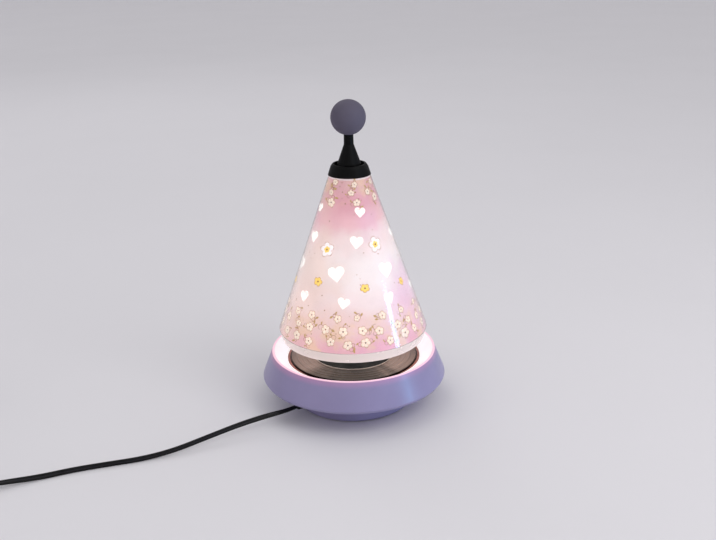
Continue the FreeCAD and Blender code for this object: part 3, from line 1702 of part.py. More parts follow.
winding_in = "(core_limb + winding_gap)"
winding_out = "(core_length / 2 - core_limb - winding_gap)"
winding_y = [f"{side} * (core_width / 2 - core_limb - winding_gap)" for side in (-1, 1)]
bore_half = "(core_thick / 2 + winding_gap)"
layer_half = f"({bore_half} + {winding_out} - {winding_in})"
winding_blank = block(
    "winding_blank", (f"-{winding_out}", winding_out), winding_y,
    (f"{middle_height} - {layer_half}", f"{middle_height} + {layer_half}"),
)
winding_bore = block(
    "winding_bore", (f"-{winding_in}", winding_in), winding_y,
    (f"{middle_height} - {bore_half}", f"{middle_height} + {bore_half}"),
)
winding = cut("transformer_winding", winding_blank, [winding_bore])
keep("transformer_winding", winding, transformer_place)

# Tapered strain relief in the case's end wall, and the cord's end inside it

relief = turned(
    "relief_blank",
    [
        ("cord_radius", "-transformer_wall - relief_flange_thick"),
        ("relief_flange", "-transformer_wall - relief_flange_thick", "fine_round"),
        ("relief_flange", "-transformer_wall"),
        ("relief_radius", "-transformer_wall"),
        ("relief_radius", "0"),
        ("bush_tip_radius", "relief_length", "fine_round"),
        ("cord_radius", "relief_length"),
    ],
)
outward = FreeCAD.Placement(
    Vector(-value("transformer_length / 2"), 0, value(cord_level)),
    FreeCAD.Rotation(Vector(0, 1, 0), -90),
)
keep("transformer_bush", group("transformer_bush", [relief]), transformer_place * outward)

lead_x = ("-transformer_length / 2 - relief_length", "-transformer_length / 2 + cord_stub")
lead = [lying_rod("transformer_stub", "cord_radius", *lead_x, z=cord_level)]
for s in (-1, 1):
    lead.append(
        lying_rod(
            f"transformer_core_wire_{s}", "wire_radius", lead_x[1], f"-{winding_out}",
            f"{s} * cord_radius / 2", cord_level,
        )
    )
keep("transformer_lead", group("transformer_lead", lead), transformer_place)

# The cord's free stretches: lamp to switch, switch to coil, coil to transformer

cord_radius = value("cord_radius")
run_points = [
    along(bush_turn, value("bush_tip"), value("bush_height")),
    along(bush_turn, value("bush_tip") + RUN_FIRST, value("bush_height")),
    *RUN_ROUTE,
    along(switch_place, -value("switch_length / 2") - RUN_LAST, split),
    along(switch_place, -value("switch_length / 2"), split),
]
keep("cord_run", tube("cord_run", run_points, cord_radius))

coil_x, coil_y = value("transformer_x"), value("coil_y")
straight = 2 * cord_radius
link_points = [
    along(switch_place, value("switch_length / 2"), split),
    along(switch_place, value("switch_length / 2") + LINK_FIRST, split),
    *LINK_ROUTE,
    (coil_x, coil_y - straight, cord_radius),
]
keep("cord_link", tube("cord_link", link_points, cord_radius))

high = value(cord_level)
relief_end = value("transformer_y - relief_length")
tail_points = [
    (coil_x, coil_y + straight, high),
    (coil_x, coil_y + straight + TAIL_ENDS, high),
    *TAIL_ROUTE,
    (coil_x, relief_end - TAIL_ENDS, high),
    (coil_x, relief_end, high),
]
keep("cord_tail", tube("cord_tail", tail_points, cord_radius))

# Coil in two layers, wound inwards, up in its tightest half turn, and outwards again

pitch = straight + value("coil_gap")
half_turns = 2 * int(SIZES["coil_turns"])
edges = [
    Part.LineSegment(
        Vector(coil_x, coil_y - straight, cord_radius), Vector(coil_x, coil_y, cord_radius)
    ).toShape()
]
at = Vector(coil_x, coil_y, cord_radius)
for k in range(half_turns):
    radius = value("coil_outer") - pitch / 2 * min(k, half_turns - k)
    side = 1 if k % 2 == 0 else -1
    rise = pitch if k == half_turns // 2 else 0
    there = at + Vector(2 * side * radius, 0, rise)
    middle = (at + there) / 2
    crest = middle + Vector(0, side * (there - at).Length / 2, 0)
    edges.append(Part.Arc(at, crest, there).toShape())
    at = there
edges.append(Part.LineSegment(at, at + Vector(0, straight, 0)).toShape())
coil_wire = Part.Wire(edges)
coil = doc.addObject("Part::Feature", "cord_coil")
coil.Shape = swept(
    coil_wire, Vector(coil_x, coil_y - straight, cord_radius), Vector(0, 1, 0), cord_radius,
    "cord_coil",
)
keep("cord_coil", coil)

count = int(coil_wire.Length / cord_radius)
beads = coil_wire.discretize(Number=count)
apart = 6
least = min(
    beads[i].distanceToPoint(beads[j]) for i in range(count) for j in range(i + apart, count)
)
print(f"cord_coil: least gap to itself {least - straight:.2f}")

# Check every object, then write each piece

doc.recompute()
failed = [thing.Label for thing in doc.Objects if {"Invalid", "Error"} & set(thing.State)]
poor = [piece.Label for piece in pieces if piece.Shape.isNull() or not piece.Shape.isValid()]
if failed or poor:
    raise RuntimeError(f"failed: {failed}, not valid: {poor}")
os.makedirs("parts", exist_ok=True)
for piece in pieces:
    piece.Shape.exportStep(f"parts/{piece.Label}.step")
print(f"{len(pieces)} nodes, {sum(len(piece.Shape.Solids) for piece in pieces)} solids")
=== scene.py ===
import math

import bmesh
import bpy
import numpy as np
from mathutils import Matrix


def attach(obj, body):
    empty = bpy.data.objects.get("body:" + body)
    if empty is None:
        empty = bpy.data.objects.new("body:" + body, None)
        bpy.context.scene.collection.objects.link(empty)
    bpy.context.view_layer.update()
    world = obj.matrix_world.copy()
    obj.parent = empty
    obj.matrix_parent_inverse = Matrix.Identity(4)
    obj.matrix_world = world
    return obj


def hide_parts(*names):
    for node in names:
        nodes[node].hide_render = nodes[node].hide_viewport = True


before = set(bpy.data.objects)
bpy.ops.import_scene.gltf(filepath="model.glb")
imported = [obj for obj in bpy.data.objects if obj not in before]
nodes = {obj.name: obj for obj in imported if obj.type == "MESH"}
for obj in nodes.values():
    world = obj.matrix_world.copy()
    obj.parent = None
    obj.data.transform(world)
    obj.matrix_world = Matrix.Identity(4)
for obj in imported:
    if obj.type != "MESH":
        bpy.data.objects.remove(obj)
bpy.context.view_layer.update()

# Viewpoint
# The lens stands about 150 mm higher than the lamp's ball, not quite a metre in front of it, and
# looks down on it. The view leans by about a degree.
mm = 0.001
EYE = (0.0, -937.0 * mm, 481.8 * mm)
YAW, PITCH, ROLL = np.radians([0.41, 19.62, -1.22])
LENS = 46.9

ahead = np.array([np.sin(YAW) * np.cos(PITCH), np.cos(YAW) * np.cos(PITCH), -np.sin(PITCH)])
level = np.array([np.cos(YAW), -np.sin(YAW), 0.0])
upright = np.cross(level, ahead)
rightward = np.cos(ROLL) * level + np.sin(ROLL) * upright
upward = np.cos(ROLL) * upright - np.sin(ROLL) * level


def set_up(thing, place, right, top, back):
    """Put a camera or a lamp in the scene at a place, looking away from `back`."""
    axes = np.stack([right, top, back, place], axis=1)
    thing.matrix_world = Matrix([*axes.tolist(), [0.0, 0.0, 0.0, 1.0]])
    bpy.context.scene.collection.objects.link(thing)
    return thing


lens = bpy.data.cameras.new("table_view")
lens.sensor_width = 36.0
lens.lens = LENS
lens.clip_end = 60.0
view = bpy.data.objects.new("table_view", lens)
bpy.context.scene.camera = set_up(view, EYE, rightward, upward, -ahead)
bpy.context.scene.view_settings.view_transform = "Standard"

# Studio
# A wide pale floor of paper curves up far away all round the lamp, under an even white sky. A
# broad soft lamp stands at the upper right, with two weaker ones at the left and behind. A tall
# narrow bluish one, low on the right, gives the skirt and the cone their long shine and is
# flagged off the floor.
PAPER_TONE = (232, 230, 235)
PAPER_FLAT, PAPER_SWEEP, PAPER_TOP = 9.0, 3.0, 5.5
SKY = 0.70
CLOUD_RANGE = (0.3, 0.7)
WHITE_LIGHT, COOL_LIGHT = (1.0, 1.0, 1.0), (0.22, 0.60, 1.0)
SOFT_LAMPS = {
    "upper_right": ((0.95, -0.80, 1.30), (0.9, 0.9), 7.0, WHITE_LIGHT),
    "strip_right": ((0.98, -0.42, 0.17), (0.13, 0.32), 1.6, COOL_LIGHT),
    "upper_left": ((-1.30, -0.60, 1.10), (1.2, 1.2), 0.8, WHITE_LIGHT),
    "behind": ((-0.90, 1.90, 1.80), (1.2, 1.2), 4.0, WHITE_LIGHT),
}
LIT_POINT = np.array([0.0, 0.0, 0.14])


def paint(red, green, blue):
    """A colour as the eye reads it, in parts of 255, as the linear colour that a shader takes."""
    shares = np.array([red, green, blue]) / 255.0
    linear = np.where(shares <= 0.04045, shares / 12.92, ((shares + 0.055) / 1.055) ** 2.4)
    return (*linear.tolist(), 1.0)


def put(tree, kind, feeds=(), **settings):
    """The outputs of a new shader node. Its inputs get values, or links from other sockets."""
    made = tree.nodes.new("ShaderNode" + kind)
    for name, setting in settings.items():
        setattr(made, name, setting)
    for name, value in dict(feeds).items():
        if isinstance(value, bpy.types.NodeSocket):
            tree.links.new(value, made.inputs[name])
        else:
            made.inputs[name].default_value = value
    return made.outputs


def reckon(tree, operation, *values):
    """The result of a sum on numbers or sockets, such as MULTIPLY or SINE."""
    return put(tree, "Math", enumerate(values), operation=operation)[0]


def spread(tree, value, given, wanted=(0.0, 1.0), way="SMOOTHSTEP"):
    """A value taken from one range to another: given[0] gives wanted[0], given[1] wanted[1]."""
    feeds = {"Value": value, "From Min": given[0], "From Max": given[1]}
    feeds |= {"To Min": wanted[0], "To Max": wanted[1]}
    return put(tree, "MapRange", feeds, interpolation_type=way)[0]


def blend(tree, share, first, second, way="MIX"):
    """Two colours mixed: `first` where the share is 0, `second` where it is 1."""
    feeds = {0: share, 6: first, 7: second}
    return put(tree, "Mix", feeds, data_type="RGBA", blend_type=way)[2]


def object_place(tree):
    """Where a point is on the lamp, in metres."""
    return put(tree, "TexCoord")["Object"]


def cloud(tree, scale, detail=3.0, roughness=0.55, place=None):
    """Soft random patches of about 1 / scale metres, as a value from 0 to 1."""
    if place is None:
        place = object_place(tree)
    feeds = {"Vector": place, "Scale": scale, "Detail": detail, "Roughness": roughness}
    return put(tree, "TexNoise", feeds)["Fac"]


def blank_finish(name):
    """A new empty material, with its node tree."""
    material = bpy.data.materials.new(name)
    material.use_nodes = True
    material.node_tree.nodes.clear()
    return material, material.node_tree


def show(tree, shader):
    """Make a shader the surface of a finish."""
    tree.links.new(shader, tree.nodes.new("ShaderNodeOutputMaterial").inputs["Surface"])


def cover(tree, feeds):
    """Give a finish its one shader, with these inputs."""
    show(tree, put(tree, "BsdfPrincipled", feeds)[0])


def around(count):
    """Evenly spaced angles, once round."""
    return np.linspace(0.0, 2.0 * math.pi, count, endpoint=False)


def grid_faces(rows, columns, closed_rows=False, closed_columns=False):
    """The four-sided faces between the neighbours in a grid of points, row after row. A closed
    direction joins its last line of points to its first."""
    i = np.arange(rows if closed_rows else rows - 1)[:, None]
    j = np.arange(columns if closed_columns else columns - 1)[None, :]
    below, beside = (i + 1) % rows, (j + 1) % columns
    corners = [i * columns + j, i * columns + beside, below * columns + beside, below * columns + j]
    return np.stack(corners, axis=-1).reshape(-1, 4).tolist()


def piece(name, points, faces, material, crease=35.0, laid=None):
    """A finished mesh from an array of points and its faces. Points in one spot are joined, the
    faces are turned outwards, and edges sharper than the crease angle stay crisp. `laid` keeps
    three numbers with each point, for the material."""
    mesh = bpy.data.meshes.new(name)
    mesh.from_pydata(np.reshape(points, (-1, 3)).tolist(), [], faces)
    if laid is not None:
        mesh.attributes.new("laid", "FLOAT_VECTOR", "POINT")
        mesh.attributes["laid"].data.foreach_set("vector", np.ravel(laid))
    solid = bmesh.new()
    solid.from_mesh(mesh)
    bmesh.ops.remove_doubles(solid, verts=solid.verts, dist=0.001 * mm)
    bmesh.ops.recalc_face_normals(solid, faces=solid.faces)
    solid.to_mesh(mesh)
    solid.free()
    mesh.polygons.foreach_set("use_smooth", [True] * len(mesh.polygons))
    mesh.set_sharp_from_angle(angle=math.radians(crease))
    mesh.materials.append(material)
    made = bpy.data.objects.new(name, mesh)
    bpy.context.scene.collection.objects.link(made)
    return made


pale_paper, tree = blank_finish("pale_paper")
lighter, darker = paint(*PAPER_TONE), paint(*(part - 4 for part in PAPER_TONE))
paper_tone = blend(tree, cloud(tree, 2.5), lighter, darker)
matt = {"Base Color": paper_tone, "Roughness": 0.95, "Specular IOR Level": 0.05}
cover(tree, matt)

bend = np.linspace(0.0, math.pi / 2, 25)
run = np.concatenate([[0.0], PAPER_FLAT + PAPER_SWEEP * np.sin(bend), [PAPER_FLAT + PAPER_SWEEP]])
rise = np.concatenate([[0.0], PAPER_SWEEP - PAPER_SWEEP * np.cos(bend), [PAPER_TOP]])
turn = around(96)[:, None]
sheet = np.stack([run * np.cos(turn), run * np.sin(turn), rise + 0.0 * turn], axis=-1)
sheet_faces = grid_faces(len(turn), len(run), closed_rows=True)
backdrop = piece("backdrop", sheet, sheet_faces, pale_paper, crease=180.0)

sky = bpy.data.worlds.new("even_sky")
sky.use_nodes = True
sky.node_tree.nodes["Background"].inputs["Color"].default_value = (1.0, 1.0, 1.0, 1.0)
sky.node_tree.nodes["Background"].inputs["Strength"].default_value = SKY
bpy.context.scene.world = sky
flagged = bpy.data.collections.new("flagged_off_the_floor")
flagged.objects.link(backdrop)
flagged.collection_objects[0].light_linking.link_state = "EXCLUDE"
for name, (place, size, power, tint) in SOFT_LAMPS.items():
    panel = bpy.data.lights.new(name, "AREA")
    panel.shape = "RECTANGLE"
    panel.size, panel.size_y = size
    panel.energy, panel.color = power, tint
    away = np.array(place) - LIT_POINT
    back = away / np.linalg.norm(away)
    right = np.cross((0.0, 0.0, 1.0), back)
    right /= np.linalg.norm(right)
    made = set_up(bpy.data.objects.new(name, panel), place, right, np.cross(back, right), back)
    if tint == COOL_LIGHT:
        made.light_linking.receiver_collection = flagged

# Lilac housing
# The foot is two injection mouldings in soft lilac ABS with a fine satin grain: the skirt with the
# bowl and its rim, and the drum closed by its own floor, with screws up through it. The lit cone
# floods the bowl with light, from the step at its foot up to the rim.
LILAC = (149, 141, 180)
BOWL_FLOOR, BOWL_LIP = (48.5 * mm, 48.8 * mm), (86.2 * mm, 86.6 * mm)
RIM_TOP, BELOW_RIM = (58.4 * mm, 59.2 * mm), (51.7 * mm, 58.2 * mm)
UNLIT = (0.0, 0.0, 0.0, 1.0)
BOWL_LIGHT = (0.70, 0.67, 0.58, 1.0)
RIM_LIGHT = (0.74, 0.40, 0.39, 1.0)
SEEPING_LIGHT = (0.12, 0.01, 0.03, 1.0)
SKIN = {
    "Colour": ("Color", (0.5, 0.5, 0.5, 1.0)),
    "Mottle": ("Float", 0.05),
    "Grain": ("Float", 1500.0),
    "Depth": ("Float", 0.02 * mm),
    "Sheen": ("Float", 0.45),
}
SKIN_GIVES = {"Colour": "Color", "Sheen": "Float", "Normal": "Vector"}


def effect(name, takes, gives):
    """An empty group for an effect that several finishes share. Returns it with its tree's
    incoming and outgoing sockets."""
    group = bpy.data.node_groups.new(name, "ShaderNodeTree")
    for label, (kind, start) in takes.items():
        socket = group.interface.new_socket(label, in_out="INPUT", socket_type="NodeSocket" + kind)
        socket.default_value = start
    for label, kind in gives.items():
        group.interface.new_socket(label, in_out="OUTPUT", socket_type="NodeSocket" + kind)
    incoming, outgoing = group.nodes.new("NodeGroupInput"), group.nodes.new("NodeGroupOutput")
    return group, incoming.outputs, outgoing.inputs


def give(tree, wanted, **parts):
    """Link a group's results to what it gives out."""
    for name, part in parts.items():
        tree.links.new(part, wanted[name])


def patchy(tree, wanted, *grain):
    """Soft random patches of a grain, with values that run over the wanted range."""
    return spread(tree, cloud(tree, *grain), CLOUD_RANGE, wanted)


def scaled(tree, vector, share):
    """A colour or a vector times a number."""
    feeds = {0: vector, "Scale": share}
    return put(tree, "VectorMath", feeds, operation="SCALE")[0]


def raised(tree, height, depth, **under):
    """The normal of a surface with a relief on it, which stands up by the depth."""
    return put(tree, "Bump", {"Height": height, "Distance": depth} | under)[0]


moulded_skin, given, wanted = effect("moulded_skin", SKIN, SKIN_GIVES)
tree = moulded_skin
tint = reckon(tree, "MULTIPLY_ADD", patchy(tree, (-1.0, 1.0), 16.0, 4.0), given["Mottle"], 1.0)
handled = spread(tree, cloud(tree, 60.0, 6.0, 0.7), (0.4, 0.7), (-0.04, 0.10))
give(
    tree,
    wanted,
    Colour=scaled(tree, given["Colour"], tint),
    Sheen=reckon(tree, "ADD", given["Sheen"], handled),
    Normal=raised(tree, cloud(tree, given["Grain"], 1.5), given["Depth"]),
)


def moulded(name, colour, flat=(), glow=None, **skin_values):
    """A moulded plastic or rubber: its skin gives colour, sheen and grain, `flat` the numbers that
    are the same all over, and `glow` a function from its tree to the light that it gives off."""
    material, tree = blank_finish(name)
    feeds = {"Colour": paint(*colour)} | {key.title(): part for key, part in skin_values.items()}
    skin = put(tree, "Group", feeds, node_tree=moulded_skin)
    feeds = {"Base Color": skin["Colour"], "Roughness": skin["Sheen"], "Normal": skin["Normal"]}
    feeds |= dict(flat)
    if glow:
        feeds |= {"Emission Color": glow(tree), "Emission Strength": 1.0}
    cover(tree, feeds)
    return material


def dress(material, *names):
    """Give CAD pieces a finish, in every one of their material slots."""
    for name in names:
        for slot in nodes[name].material_slots:
            slot.material = material


def parted(tree, vector):
    """A vector's three parts."""
    return put(tree, "SeparateXYZ", {0: vector})


def from_axis(tree):
    """How far a point is from the lamp's upright axis, and how high it is."""
    x, y, z = parted(tree, object_place(tree))
    level = reckon(tree, "SQRT", reckon(tree, "MULTIPLY_ADD", x, x, reckon(tree, "MULTIPLY", y, y)))
    return level, z


def bowl_glow(tree):
    """The light in the bowl: nearly white on its wall, pink round the rim, a little red where it
    seeps through the skirt below the rim, and none further down or under the bowl's floor."""
    radius, height = from_axis(tree)
    outer = blend(tree, spread(tree, height, BELOW_RIM), UNLIT, SEEPING_LIGHT)
    outer = blend(tree, spread(tree, height, RIM_TOP), outer, RIM_LIGHT)
    inner = blend(tree, spread(tree, height, BOWL_FLOOR), UNLIT, BOWL_LIGHT)
    return blend(tree, spread(tree, radius, BOWL_LIP), inner, outer)


dress(moulded("lilac_skirt", LILAC, glow=bowl_glow, sheen=0.33), "top_shell")
dress(moulded("lilac_drum", LILAC, sheen=0.44), "bottom_shell")

# Rubber feet
# Three flat discs of dark soft rubber are pressed into the drum's floor. They are matt, and the
# faces that stand on the table are scuffed.
dress(moulded("foot_rubber", (38, 37, 38), mottle=0.18, grain=900.0, sheen=0.78), "rubber_feet")

# Screws, nuts and zinc-plated steel
# The screws, the nuts, the tube round the rod and the bent socket bracket are steel with a bright
# zinc plating, finely scratched from the tools and a little tarnished in patches.
ZINC, TARNISH = (176, 180, 186), (168, 150, 128)
DRAWN_OUT = (1.0, 1.0, 0.1)
METAL = {
    "Colour": ("Color", (0.6, 0.6, 0.6, 1.0)),
    "Tarnish": ("Float", 0.25),
    "Scratches": ("Float", 0.004 * mm),
    "Sheen": ("Float", 0.28),
}

worn_metal, given, wanted = effect("worn_metal", METAL, SKIN_GIVES)
tree = worn_metal
stains = spread(tree, cloud(tree, 190.0, 5.0, 0.65), (0.45, 0.75))
dulled = reckon(tree, "MULTIPLY", stains, given["Tarnish"])
brown = blend(tree, 1.0, given["Colour"], paint(*TARNISH), "MULTIPLY")
drawn = put(tree, "Mapping", {"Vector": object_place(tree), "Scale": DRAWN_OUT})[0]
give(
    tree,
    wanted,
    Colour=blend(tree, dulled, given["Colour"], brown),
    Sheen=reckon(tree, "MULTIPLY_ADD", dulled, 0.5, given["Sheen"]),
    Normal=raised(tree, cloud(tree, 5200.0, 2.0, 0.5, drawn), given["Scratches"]),
)


def metal(name, colour, height=None, depth=0.0, **wear_values):
    """A bare or plated metal. `height` is a function from its tree to a relief such as a thread
    or lathe lines, which stands up by `depth`."""
    material, tree = blank_finish(name)
    feeds = {"Colour": paint(*colour)} | {key.title(): part for key, part in wear_values.items()}
    wear = put(tree, "Group", feeds, node_tree=worn_metal)
    normal = raised(tree, height(tree), depth, Normal=wear["Normal"]) if height else wear["Normal"]
    feeds = {"Base Color": wear["Colour"], "Roughness": wear["Sheen"], "Normal": normal}
    cover(tree, feeds | {"Metallic": 1.0})
    return material


zinc = metal("zinc_plating", ZINC)
dress(zinc, "housing_screws", "platform_screws", "rod_nuts", "socket_bracket", "socket_screws")
dress(zinc, "clamp_screws", "terminal_screws", "terminal_mount_screw", "switch_screws")
dress(zinc, "transformer_screws", "bulb_pins")

# Reflector dish
# A dished ring spun from thin sheet metal lies in the bowl round the lamp platform, pinkish brown
# from the light above. The spinning left it finely brushed all round, with three shallow beads.
# Light and shade are painted into its colour: lighter and darker sectors where the bulb's light
# falls and the socket bracket shades it, a painted dark ring of shade near its outer edge, a
# painted pink reflection of the lit bowl round its rim, and a painted highlight on its inner edge.
DISH_PAINTED_SHADE, DISH_PAINTED_LIGHT = (78, 69, 65), (174, 153, 146)
DISH_STREAK, DISH_LIP_HIGHLIGHT = (90, 80, 75), (200, 187, 180)
DISH_ACROSS, DISH_LIP = (43.0 * mm, 73.0 * mm), (44.1 * mm, 44.5 * mm)
DISH_PITCH, BAND_PITCHES = 0.5 * mm, 0.13
# Painted shade and reflection across the dish, from its inner to its outer edge.
DISH_PAINTED_SHADING = [
    (0.00, (206, 204, 202)),
    (0.45, (228, 226, 224)),
    (0.82, (214, 212, 210)),
    (0.855, (96, 82, 78)),
    (0.885, (96, 82, 78)),
    (0.91, (255, 196, 190)),
]
lathe_rings, given, wanted = effect(
    "lathe_rings", {"Pitch": ("Float", DISH_PITCH)}, {"Height": "Float", "Tone": "Float"}
)
tree = lathe_rings
radius, height = from_axis(tree)
line = reckon(tree, "DIVIDE", reckon(tree, "ADD", radius, height), given["Pitch"])
for label, way in (("Height", line), ("Tone", reckon(tree, "MULTIPLY", line, BAND_PITCHES))):
    noise = put(tree, "TexNoise", {"W": way, "Scale": 1.0}, noise_dimensions="1D")
    tree.links.new(noise["Fac"], wanted[label])


def turned(tree, pitch):
    """Fine lathe rings and broader bands of tone, from the rings' pitch."""
    return put(tree, "Group", {"Pitch": pitch}, node_tree=lathe_rings)


def rings_of(pitch):
    """Lathe rings of one pitch, as a relief for a metal finish."""
    return lambda tree: turned(tree, pitch)["Height"]


def wash(tree, value, stops):
    """A run of colours along a value, from its (place, colour) stops."""
    colours = put(tree, "ValToRGB", {0: value})[0]
    ramp = colours.node.color_ramp
    ramp.interpolation = "EASE"
    for number, (place, colour) in enumerate(stops):
        stop = ramp.elements[number] if number < 2 else ramp.elements.new(place)
        stop.position, stop.color = place, paint(*colour)
    return colours


def levelled(tree, place):
    """A place's level part, which points out from the lamp's axis."""
    feeds = {0: place, 1: (1.0, 1.0, 0.0)}
    return put(tree, "VectorMath", feeds, operation="MULTIPLY")[0]


spun_dish, tree = blank_finish("spun_dish")
rings = turned(tree, DISH_PITCH)
radius, _ = from_axis(tree)
outward = levelled(tree, object_place(tree))
aim = put(tree, "VectorMath", {0: outward}, operation="NORMALIZE")[0]
aim_x = parted(tree, aim)[0]
sideways = reckon(tree, "MULTIPLY_ADD", reckon(tree, "MULTIPLY", aim_x, aim_x), 2.0, -1.0)
uneven = patchy(tree, (-0.35, 0.35), 2.6, 2.0, 0.5, aim)
painted_light_share = spread(tree, reckon(tree, "ADD", sideways, uneven), (-0.75, 0.55))
# Painted light and shade: the dish is lighter and darker in sectors where the bulb's light falls
# and the socket bracket shades it.
sheet_tone = blend(tree, painted_light_share, paint(*DISH_PAINTED_SHADE), paint(*DISH_PAINTED_LIGHT))
streak = spread(tree, rings["Tone"], CLOUD_RANGE, (0.0, 0.14))
sheet_tone = blend(tree, streak, sheet_tone, paint(*DISH_STREAK))
# Painted shading across the dish: a dark ring of shade near its outer edge and the pink reflection
# of the lit bowl at its rim.
shade = wash(tree, spread(tree, radius, DISH_ACROSS, way="LINEAR"), DISH_PAINTED_SHADING)
sheet_tone = blend(tree, 1.0, sheet_tone, shade, "MULTIPLY")
# Painted highlight: a bright line along the dish's inner edge.
lip_highlight = spread(tree, radius, DISH_LIP, (1.0, 0.0))
sheet_tone = blend(tree, lip_highlight, sheet_tone, paint(*DISH_LIP_HIGHLIGHT))
brushed = {
    "Base Color": sheet_tone,
    "Metallic": 1.0,
    "Roughness": patchy(tree, (0.27, 0.33), 30.0, 2.0),
    "Normal": raised(tree, rings["Height"], 0.0006 * mm),
    "Anisotropic": 0.82,
    "Tangent": put(tree, "Tangent", direction_type="RADIAL", axis="Z")[0],
}
cover(tree, brushed)
dress(spun_dish, "reflector_dish")

# Black mouldings
# The lamp platform in the middle of the dish, the turbine wheel, the collar and the tower are
# black nylon, which stands the heat: satin, almost without colour, with a very fine grain.
BLACK = (5, 5, 6)
DULL = {"Specular IOR Level": 0.12}
black_nylon = moulded("black_nylon", BLACK, DULL, mottle=0.2, depth=0.012 * mm, sheen=0.50)
dress(black_nylon, "lamp_platform", "turbine_wheel", "top_collar", "tower")

# Stem
# A hollow threaded rod stands in the platform, held by two nuts, with a plain tube round it. It
# carries the socket bracket, and the leads come up through it.
THREAD_PITCH = 1.0 * mm


def thread(tree):
    """A screw thread round the lamp's axis: a wave that climbs by one pitch in a turn."""
    x, y, z = parted(tree, object_place(tree))
    climb = reckon(tree, "MULTIPLY", z, 2.0 * math.pi / THREAD_PITCH)
    return reckon(tree, "SINE", reckon(tree, "ADD", climb, reckon(tree, "ARCTAN2", y, x)))


dress(metal("threaded_steel", ZINC, thread, 0.25 * mm, tarnish=0.4, sheen=0.34), "threaded_rod")
tube_steel = metal("tube_steel", (188, 190, 194), rings_of(0.3 * mm), 0.002 * mm, sheen=0.2)
dress(tube_steel, "stem_sleeve")

# Socket and bulb
# A small white glazed porcelain socket takes the two pins of a clear quartz capsule bulb. Its
# filament is a coil of tungsten wire, white hot.
PORCELAIN = (226, 221, 210)
FILAMENT_LIGHT, FILAMENT_DIM = (1.0, 0.76, 0.48, 1.0), (1.0, 0.62, 0.34, 1.0)
GLAZE = {"Coat Weight": 0.6, "Coat Roughness": 0.12}
porcelain = moulded("porcelain", PORCELAIN, GLAZE, mottle=0.05, grain=500.0, sheen=0.35)
dress(porcelain, "lamp_socket")


def see_through(tree, tone, haze, index):
    """A clear wall: it bends what is seen through it, and lets light by where it casts a shadow."""
    feeds = {"Base Color": tone, "Roughness": haze, "IOR": index, "Transmission Weight": 1.0}
    wall = put(tree, "BsdfPrincipled", feeds)[0]
    gone = put(tree, "BsdfTransparent")[0]
    shadow = put(tree, "LightPath")["Is Shadow Ray"]
    show(tree, put(tree, "MixShader", {0: shadow, 1: wall, 2: gone})[0])


quartz, tree = blank_finish("quartz_capsule")
tone = blend(tree, cloud(tree, 120.0), paint(250, 250, 248), paint(240, 238, 234))
haze = spread(tree, cloud(tree, 260.0, 3.0), (0.4, 0.8), (0.015, 0.09))
see_through(tree, tone, haze, 1.46)
dress(quartz, "bulb_glass")

hot_wire, tree = blank_finish("white_hot_tungsten")
wire_light = blend(tree, cloud(tree, 900.0), FILAMENT_LIGHT, FILAMENT_DIM)
wire = {"Base Color": paint(60, 58, 56), "Metallic": 1.0, "Roughness": 0.5}
cover(tree, wire | {"Emission Color": wire_light, "Emission Strength": 9.0})
dress(hot_wire, "bulb_filament")

# Brass parts
# The contacts, the ferrule on the bail, the bearing cup over the needle and the plug's pins are
# turned or stamped from brass.
brass = metal("brass", (196, 160, 92), rings_of(0.12 * mm), 0.001 * mm, tarnish=0.5, sheen=0.26)
dress(brass, "socket_contacts", "needle_ferrule", "bearing_cup", "switch_contacts", "plug_pins")

# Bail and needle
# A hoop of bright spring wire is clipped into the platform and stands over the bulb. The needle
# in its ferrule ends in the cup at the top, and the whole shade hangs and turns on its point.
spring_wire = metal("spring_wire", (170, 172, 174), tarnish=0.3, sheen=0.2)
dress(spring_wire, "bail_wire", "bail_clips", "needle_rod", "rocker_pin")

# Ball
# The ball on the tower is a hollow moulding in grey-violet plastic with a matt skin.
BALL_SKIN = {"mottle": 0.08, "depth": 0.03 * mm, "sheen": 0.62}
dress(moulded("matt_violet", (97, 92, 108), DULL, **BALL_SKIN), "ball_knob")

# Clear cone
# The shade is a cone rolled from clear acrylic sheet, glossy and a little scuffed, with a clear
# ring on its foot that is milky with light. Light passes straight through the cone in shadows.
CLEAR = (250, 248, 250)
RING = (236, 226, 222)
RING_LIGHT = (0.19, 0.165, 0.155, 1.0)
ACRYLIC_INDEX = 1.49


def ring_glow(tree):
    """The light held in the ring, a little uneven round it."""
    return blend(tree, cloud(tree, 25.0), RING_LIGHT, tuple(0.8 * part for part in RING_LIGHT))


clear_acrylic, tree = blank_finish("clear_acrylic")
dull = tuple(0.97 * part for part in CLEAR)
tone = blend(tree, cloud(tree, 40.0), paint(*CLEAR), paint(*dull))
haze = spread(tree, cloud(tree, 75.0, 6.0, 0.7), (0.45, 0.75), (0.10, 0.11))
see_through(tree, tone, haze, ACRYLIC_INDEX)
dress(clear_acrylic, "shade_cone")
milky = {"Transmission Weight": 0.35, "IOR": ACRYLIC_INDEX}
dress(moulded("milky_acrylic", RING, milky, ring_glow, mottle=0.03, sheen=0.22), "shade_ring")

